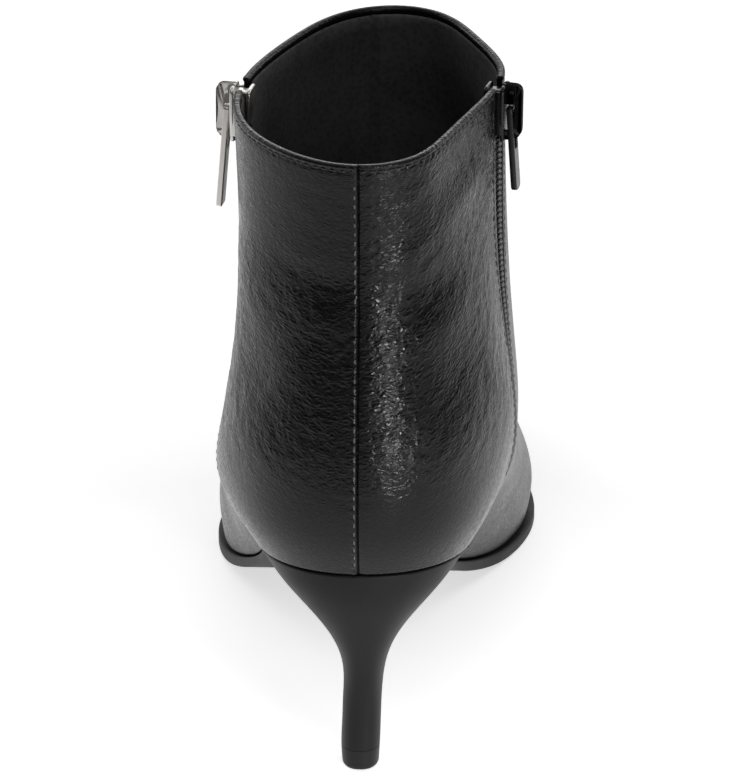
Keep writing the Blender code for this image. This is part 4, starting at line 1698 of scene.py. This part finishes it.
@dataclass
class Heel:
    """Covered heel and the tip under it, as rings up a stem that opens into a seat."""

    last: Last
    gap: float = 0.3
    breast: float = 44.0
    inset: float = 0.3
    tip_height: float = 5.0
    tip_edge: float = 0.9
    edge_round: float = 0.06
    joint_fill: float = 0.06
    columns: tuple[str, ...] = ("z", "middle_x", "half_width", "back_y", "front_y")
    rows: tuple[Row, ...] = (
        (0.0, 0.0, 4.4, 13.0, 24.2), (5.2, 0.0, 4.7, 13.2, 24.4), (11.4, 0.2, 4.7, 13.4, 24.8),
        (17.5, 0.4, 4.7, 13.4, 25.4), (23.5, 0.7, 4.9, 12.8, 26.6), (29.5, 0.8, 6.2, 11.6, 28.8),
        (35.4, 0.7, 9.5, 9.8, 32.2), (41.0, 0.5, 14.9, 7.8, 37.0), (46.4, 0.2, 20.8, 6.0, 41.5),
        (52.0, 0.0, 25.4, 5.3, 44.0),
    )
    stem_row: int = 3
    split: float = 0.72
    round_half: int = 56
    seat_spacing: float = 1.7
    seat_blend: float = 1.5
    stem_round: float = 0.85
    lift_from: float = 0.55
    sharp: float = 0.0001
    cap_rings: Row = (0.93, 0.5)
    cap_steps: int = 6
    stem_rings: int = 90
    tip_rings: int = 14
    inset_run: float = 3.0

    def column(self, name: str) -> Array:
        """One column of the table of heights."""
        return np.array(self.rows)[:, self.columns.index(name)]

    def at(self, name: str, z: Array) -> Array:
        """One column of the table read at height z."""
        return natural_curve(self.column("z"), self.column(name), z)

    def rings(self, heights: Array) -> Array:
        """Rings of the heel: an oval stem whose outline turns into the seat's outline going up.

        Args:
            heights: height of each ring before the seat's slope lifts it.

        Returns:
            Rings by points by 3, lateral side first, from the back round the breast.
        """
        share = np.linspace(0.0, 1.0, self.round_half + 1)[None]
        along = np.minimum(share / self.split, 1.0)
        inward = np.maximum((share - self.split) / (1 - self.split), 0.0)
        back_y, front_y = self.last.sole_row["back_y"], self.last.sole_row["front_y"]
        seat_y = back_y + self.inset + (self.breast - back_y - self.inset) * along**self.seat_spacing
        seat_t = np.maximum((seat_y - self.inset - back_y) / (front_y - back_y), 0.0)
        z = np.asarray(heights, float)[:, None]
        top = self.column("z")[-1]
        stem = self.column("z")[self.stem_row]
        blend = np.clip((z - stem) / (top - stem), 0.0, 1.0) ** self.seat_blend
        forward = (seat_y - seat_y[:, :1]) / (seat_y[:, -1:] - seat_y[:, :1])
        forward = (1 - blend) * (1 - np.cos(math.pi * share)) / 2 + blend * forward
        y = self.at("back_y", z) + (self.at("front_y", z) - self.at("back_y", z)) * forward
        rise = np.clip((z - self.lift_from * top) / ((1 - self.lift_from) * top), 0.0, 1.0) ** 2
        lift = (self.last.bottom_z(y) - self.gap - top) * rise
        halves = []
        for side in Side:
            width = self.last.half_width(np.zeros(1), seat_t, side)
            inset = self.inset * np.minimum(along * self.inset_run, 1.0)
            seat_x = np.maximum(width - inset, 0.0) * (1 - inward)
            stem_x = np.sin(math.pi * share) ** self.stem_round
            across = (1 - blend) * stem_x + blend * seat_x / self.column("half_width")[-1]
            x = self.at("middle_x", z) + side.value * across * self.at("half_width", z)
            halves.append(np.stack([x, y, z + lift], axis=-1))
        return np.concatenate([halves[0], halves[1][:, -2:0:-1]], axis=1)

    def capped(self, name: str, rings: Array, low_round: float, high_round: float, finish: Material) -> Piece:
        """Closed piece from rings, with both rims rounded and a middle point on each end.

        Args:
            name: name of the piece.
            rings: rings by points by 3.
            low_round: radius of the lower rim.
            high_round: radius of the upper rim.
            finish: material.

        Returns:
            The piece.
        """
        turn = np.linspace(0.0, math.pi / 2, self.cap_steps)
        shares = np.array(self.cap_rings)
        parts = [rings]
        for end, radius in ((0, low_round), (-1, high_round)):
            ring = rings[end]
            middle = ring.mean(axis=0)
            reach = np.linalg.norm(ring - middle, axis=-1, keepdims=True)
            pull = radius * (1 - np.cos(turn))
            lowered = np.array([middle + (ring - middle) * (1 - p / reach) for p in pull])
            drop = radius * np.sin(turn) * (-1 if end == 0 else 1)
            lowered[..., 2] += drop[:, None]
            flat = np.array([middle + (lowered[-1] - middle) * share for share in shares])
            flat[..., 2] += drop[-1] * (1 - shares)[:, None]
            cap = np.concatenate([lowered[1:], flat])
            parts = [cap[::-1], *parts] if end == 0 else [*parts, cap]
        grid = np.concatenate(parts)
        points, faces = closed_rings(grid, grid[0].mean(axis=0), grid[-1].mean(axis=0))
        return put_piece(name, points, faces, finish, weld=True)

    def build(self) -> None:
        """Build the heel and its tip."""
        low, r = self.tip_height + self.gap - self.joint_fill, self.edge_round
        rings = self.rings(np.linspace(low, self.column("z")[-1], self.stem_rings))
        heel = self.capped("covered_heel", rings, r, self.sharp, HEEL_COVER.material())
        settle(heel, Body.BOOT, Slot.HEEL, "heel")
        rings = self.rings(np.linspace(self.tip_edge, self.tip_height, self.tip_rings))
        rings[-1, :, 2] += self.joint_fill
        tip = self.capped("heel_top_piece", rings, self.tip_edge, r, TIP_RUBBER.material())
        settle(tip, Body.BOOT, Slot.TIP, "heel_tip")


@dataclass(frozen=True)
class PlateCut:
    """One plate of a slider: its corners and their radii, its two faces and how it is set.

    Corners are (across, up) from the collar on a plate that lies on the zip, and (up, outward) on one that
    stands up from it.
    """

    corners: tuple[Span, ...]
    radii: Row
    low: float
    high: float
    edge: float
    plane: Plane = Plane.FACE
    steps: int = 6
    window: tuple[Span, ...] = ()
    window_radii: Row = ()

    def solid(self) -> Shape:
        """Plate with rounded edges, and with its window where it has one.

        Returns:
            Points as (first, second, depth) and faces.
        """
        outline = rounded_outline(self.corners, self.radii, self.steps)
        if not self.window:
            return plate(outline, self.low, self.high, self.edge)
        hole = rounded_outline(self.window, self.window_radii, self.steps)
        return plate_with_hole(outline[::-1], hole[::-1], self.low, self.high, self.edge)


@dataclass
class ZipLine:
    """One zip: tape, coil teeth, slider and pull tab."""

    last: Last
    side: Side
    pull_length: float
    end_round: float
    metal: MetalFinish
    slot: Slot
    tape_half: float = 5.4
    tape_outer: float = -1.18
    tape_thick: float = 0.22
    tape_foot: float = 0.03
    tape_rows: int = 121
    tape_columns: int = 15
    cord: Bead = Bead(0.10, 2.6, 0.25)
    tooth_pitch: float = 1.4
    tooth_bar: Row = (1.25, 0.42, 0.52, 0.12)
    tooth_lean: float = 0.12
    tooth_apart: float = 0.72
    tooth_depth: float = 0.42
    tooth_grid: tuple[int, int] = (9, 10)
    chain_end: float = 3.8
    chain_points: int = 400
    near_top: float = 0.1
    pivot_drop: float = 6.2
    plate_outer: float = 1.6
    pull_thick: float = 1.5
    pull_half: float = 2.1
    pull_round: float = 0.36
    eye_half: float = 1.2
    eye_foot: float = 10.0
    eye_radii: Row = (0.5, 1.1, 1.1, 0.5)
    hinge_round: float = 0.8
    pull_steps: int = 9
    gap: float = 0.3
    tilt: float = math.radians(4.5)
    foot_level: float = 0.235
    # Front plate, back plate, post, bridge with its window, two rails and the bridge's pin.
    plates: tuple[PlateCut, ...] = (
        PlateCut(
            ((-3.5, -0.2), (-3.5, -8.0), (-2.6, -14.2), (2.6, -14.2), (3.5, -8.0), (3.5, -0.2)),
            (1.6, 2.0, 1.2, 1.2, 2.0, 1.6), 0.6, 1.6, 0.35,
        ),
        PlateCut(
            ((-3.2, -0.6), (-3.2, -9.7), (3.2, -9.7), (3.2, -0.6)), (1.4, 1.6, 1.6, 1.4), -3.45, -2.45, 0.35
        ),
        PlateCut(((-1.7, -1.5), (-1.7, -3.2), (1.7, -3.2), (1.7, -1.5)), (0.5,) * 4, -3.0, 1.0, 0.2),
        PlateCut(
            ((-0.3, 0.9), (-0.3, 5.1), (-13.1, 5.1), (-13.8, 0.9)),
            (0.3, 1.7, 2.2, 0.3), -0.8, 0.8, 0.3, Plane.SIDE, 9,
            ((-4.7, 1.15), (-4.7, 4.0), (-12.1, 4.0), (-12.4, 1.15)), (0.3, 0.7, 1.0, 0.3),
        ),
        PlateCut(
            ((-3.25, -1.4), (-3.25, -12.4), (-2.45, -12.4), (-2.45, -1.4)), (0.35,) * 4, -0.3, 1.2, 0.2
        ),
        PlateCut(((2.45, -1.4), (2.45, -12.4), (3.25, -12.4), (3.25, -1.4)), (0.35,) * 4, -0.3, 1.2, 0.2),
        PlateCut(
            ((-2.4, 3.4), (-2.4, 2.4), (-1.4, 2.4), (-1.4, 3.4)), (0.49,) * 4, -0.92, 0.92, 0.1, Plane.SIDE
        ),
    )

    @property
    def label(self) -> str:
        """Side in the names of pieces and solids."""
        return self.side.label

    def unit_length(self) -> float:
        """Millimetres along the zip for one unit of level, near the collar."""
        place = self.last.zip_frame(np.array([1.0 - self.near_top, 1.0]), self.side)[0]
        return float(np.linalg.norm(place[1] - place[0]) / self.near_top)

    def top_level(self) -> float:
        """Level at which tape and teeth end, inside the slider."""
        return 1.0 - self.chain_end / self.unit_length()

    def tape(self, finish: Material) -> None:
        """Woven tape behind the leather's edges: a thin section with two cords, carried up the zip.

        Args:
            finish: woven tape.
        """
        levels = np.linspace(self.foot_level - self.tape_foot, self.top_level(), self.tape_rows)
        offsets = np.linspace(-self.tape_half, self.tape_half, self.tape_columns)
        turns = self.last.beside_zip(levels[:, None] + 0 * offsets[None], self.side, offsets[None])
        if self.side is Side.LATERAL:
            turns = turns[:, ::-1]
        panel = Panel.cut(self.last, levels, turns)
        cord = self.cord.relief(np.abs(offsets))[None]
        outer = panel.points + panel.outward * (self.tape_outer + cord)[..., None]
        inner = panel.points + panel.outward * (self.tape_outer - self.tape_thick)
        piece = put_piece("zip_tape_" + self.label, *thin_shell(outer, inner), finish)
        settle(piece, Body.BOOT, Slot.TEXTILE, "zip_chain_" + self.label)

    def teeth(self, finish: Material) -> None:
        """Two rows of coil loops, each lying across the zip and half a pitch apart where they lock.

        Args:
            finish: coil.
        """
        levels = np.linspace(self.foot_level, self.top_level(), self.chain_points)
        length = run_length(self.last.zip_frame(levels, self.side)[0])
        count = int(length[-1] / self.tooth_pitch)
        runs = []
        for row in (-1, 1):
            at = (np.arange(count) + 0.5 + 0.25 * row) * self.tooth_pitch
            place, across, up, outward = self.last.zip_frame(np.interp(at, length, levels), self.side)
            lean = unit(across + self.tooth_lean * row * up)
            centres = place + across * (row * self.tooth_apart) - outward * self.tooth_depth
            runs.append((centres, np.stack([lean, np.cross(outward, lean), outward], axis=1)))
        centres, axes = (np.concatenate(part) for part in zip(*runs))
        tooth = grain_of_rice(*self.tooth_bar, *self.tooth_grid)
        piece = put_piece("zip_teeth_" + self.label, *repeated(*tooth, centres, axes), finish, weld=True)
        settle(piece, Body.BOOT, Slot.TEXTILE, "zip_chain_" + self.label)

    def frame_points(self, points: Array, base: tuple[Array, Array, Array, Array], plane: Plane) -> Array:
        """Points of a plate set in a zip's own directions.

        Args:
            points: points as (first, second, depth).
            base: place, across, up and outward directions.
            plane: how the plate is set.

        Returns:
            Points in millimetres.
        """
        place, across, up, outward = base
        first, second, depth = points.T
        a, u, n = (first, second, depth) if plane is Plane.FACE else (depth, first, second)
        return place + a[:, None] * across + u[:, None] * up + n[:, None] * outward

    def slider(self, finish: Material) -> None:
        """Slider: front plate with rails, back plate, post, and the bridge that holds the pull tab.

        Args:
            finish: metal of the slider.
        """
        base = self.last.zip_frame(np.array(1.0), self.side)
        points, faces = [], []
        count = 0
        for cut in self.plates:
            local, quads = cut.solid()
            points.append(self.frame_points(local, base, cut.plane))
            faces += [[n + count for n in face] for face in quads]
            count += len(local)
        piece = put_piece("slider_" + self.label, np.concatenate(points), faces, finish, weld=True)
        settle(piece, Body.BOOT, self.slot, "zip_slider_" + self.label)

    def pull(self, finish: Material, body: Body) -> None:
        """Pull tab: a flat bar with a long eye, hung on its hinge and leaning a little outward.

        Args:
            finish: metal of the pull.
            body: body that carries it.
        """
        place, across, up, outward = self.last.zip_frame(np.array(1.0), self.side)
        half, thick, eye, foot = self.pull_half, self.pull_thick / 2, self.eye_half, -self.eye_foot
        pivot = place - up * self.pivot_drop + outward * (self.plate_outer + self.gap + thick)
        down = -up * math.cos(self.tilt) + outward * math.sin(self.tilt)
        facing = outward * math.cos(self.tilt) + up * math.sin(self.tilt)
        end, r = -self.pull_length, self.pull_round
        corners = (-half, thick), (-half, end), (half, end), (half, thick)
        radii = (self.hinge_round, self.end_round, self.end_round, self.hinge_round)
        bar = rounded_outline(corners, radii, self.pull_steps)
        corners = (-eye, -r), (-eye, foot), (eye, foot), (eye, -r)
        hole = rounded_outline(corners, self.eye_radii, self.pull_steps)
        local, faces = plate_with_hole(bar, hole, -thick, thick, r)
        points = self.frame_points(local, (pivot, across, -down, facing), Plane.FACE)
        piece = put_piece("pull_" + self.label, points, faces, finish, weld=True)
        settle(piece, body, self.slot, "zip_pull_" + self.label)

    def build(self) -> None:
        """Build every piece of the zip."""
        metal = self.metal.material()
        self.tape(TAPE.material())
        self.teeth(COIL.material())
        self.slider(metal)
        self.pull(metal, Body.PULL_MEDIAL if self.side is Side.MEDIAL else Body.PULL_LATERAL)


@dataclass(frozen=True)
class SoftLight:
    """Square studio light that faces a point of the boot."""

    name: str
    place: Place
    size: Span
    power: float
    aim: Place = (0.0, -0.06, 0.08)
    spread: float = 180.0

    def hang(self) -> None:
        """Put the light into the scene, out of the camera's sight."""
        data = bpy.data.lights.new(self.name, "AREA")
        data.shape = "RECTANGLE"
        data.size, data.size_y = self.size
        data.energy = self.power
        data.spread = math.radians(self.spread)
        lamp = bpy.data.objects.new(self.name, data)
        bpy.context.scene.collection.objects.link(lamp)
        lamp.location = self.place
        lamp.rotation_euler = (Vector(self.aim) - Vector(self.place)).to_track_quat("-Z", "Y").to_euler()
        lamp.visible_camera = False


@dataclass
class Studio:
    """Floor, light and the camera at the photo's viewing angle."""

    width: int = 740
    height: int = 773
    focal_pixels: float = 4944.0
    sensor: float = 36.0
    elevation: float = math.radians(22.0)
    yaw: float = math.radians(2.5)
    distance: float = 1200.0
    anchor: Place = (0.0, 13.5, 0.0)
    anchor_pixel: Span = (359.7, 770.0)
    floor_half: float = 4.0
    floor_drop: float = 0.02
    floor_points: int = 5
    world_dark: float = 0.03
    world_pale: float = 0.5
    world_from: float = -0.25
    world_to: float = 0.8
    clip: Span = (0.05, 50.0)
    lights: tuple[SoftLight, ...] = (
        SoftLight("wide_top", (0.0, 0.3, 1.5), (2.0, 2.0), 2.6),
        SoftLight("toe_side", (0.0, 1.6, 0.9), (1.0, 0.6), 4.0),
        SoftLight("front_left", (-1.2, 0.9, 0.8), (0.7, 0.9), 4.0, (0.0, 0.08, 0.05)),
        SoftLight("front_right", (1.2, 0.9, 0.8), (0.7, 0.9), 4.0, (0.0, 0.08, 0.05)),
        SoftLight("left_box", (-1.0, 0.35, 0.55), (1.2, 1.0), 1.2),
        SoftLight("back_high", (0.2, -0.9, 1.2), (0.8, 0.5), 4.0),
        SoftLight("low_strip", (0.42, -0.78, 0.10), (0.13, 0.14), 0.5, (0.0, -0.06, 0.08), 90.0),
    )

    def floor(self) -> None:
        """Large plain floor a hair below z = 0."""
        count = self.floor_points
        edge = np.linspace(-self.floor_half, self.floor_half, count) / MM
        x, y = np.meshgrid(edge, edge)
        points = np.stack([x, y, np.full_like(x, -self.floor_drop)], axis=-1) + ORIGIN
        floor = put_piece("floor", points, grid_faces(count, count).tolist(), FloorFinish().material())

    def light(self) -> None:
        """Surroundings that pale from behind the camera to the toe's side, and the soft lights."""
        world = bpy.data.worlds.new("studio")
        bpy.context.scene.world = world
        world.use_nodes = True
        nodes, links = world.node_tree.nodes, world.node_tree.links
        ground = nodes["Background"]
        ground.inputs["Color"].default_value = (1.0, 1.0, 1.0, 1.0)
        kinds = ("TexCoord", "SeparateXYZ", "MapRange")
        sight, parts, ramp = (nodes.new("ShaderNode" + kind) for kind in kinds)
        spans = {"From Min": self.world_from, "From Max": self.world_to}
        spans |= {"To Min": self.world_dark, "To Max": self.world_pale}
        for name, value in spans.items():
            ramp.inputs[name].default_value = value
        links.new(sight.outputs["Generated"], parts.inputs[0])
        links.new(parts.outputs["Y"], ramp.inputs["Value"])
        links.new(ramp.outputs["Result"], ground.inputs["Strength"])
        for lamp in self.lights:
            lamp.hang()
        bpy.context.scene.view_settings.view_transform = "Standard"

    def camera(self) -> None:
        """Camera that puts the anchor point on its pixel, at the photo's elevation and turn."""
        e, a = self.elevation, self.yaw
        right = np.array([math.cos(a), math.sin(a), 0.0])
        look = np.array([-math.sin(a) * math.cos(e), math.cos(a) * math.cos(e), -math.sin(e)])
        up = np.cross(right, look)
        off_middle = np.array(self.anchor_pixel) - (self.width / 2, self.height / 2)
        offset = off_middle / self.focal_pixels * self.distance
        place = np.array(self.anchor) - look * self.distance - right * offset[0] + up * offset[1]
        data = bpy.data.cameras.new("camera")
        camera = bpy.data.objects.new("camera", data)
        bpy.context.scene.collection.objects.link(camera)
        pose = Matrix((right, up, -look)).transposed().to_4x4()
        pose.translation = Vector((place - ORIGIN) * MM)
        camera.matrix_world = pose
        data.sensor_fit = "HORIZONTAL"
        data.sensor_width = self.sensor
        data.lens = self.focal_pixels / self.width * self.sensor
        data.clip_start, data.clip_end = self.clip
        bpy.context.scene.camera = camera

    def build(self) -> None:
        """Set up the studio."""
        self.camera()
        self.floor()
        self.light()


def main() -> None:
    """Build the boot from the sole up, then the studio round it."""
    logging.basicConfig(level=logging.INFO, format="%(name)s: %(message)s")
    last = Last()
    Studio().build()
    Sole(last).build()
    Heel(last).build()
    Upper(last).build()
    ZipLine(last, Side.LATERAL, 25.2, 0.8, NICKEL, Slot.BRIGHT).build()
    ZipLine(last, Side.MEDIAL, 20.5, 1.8, ENAMEL, Slot.BLACK).build()


if __name__ == "__main__":
    main()
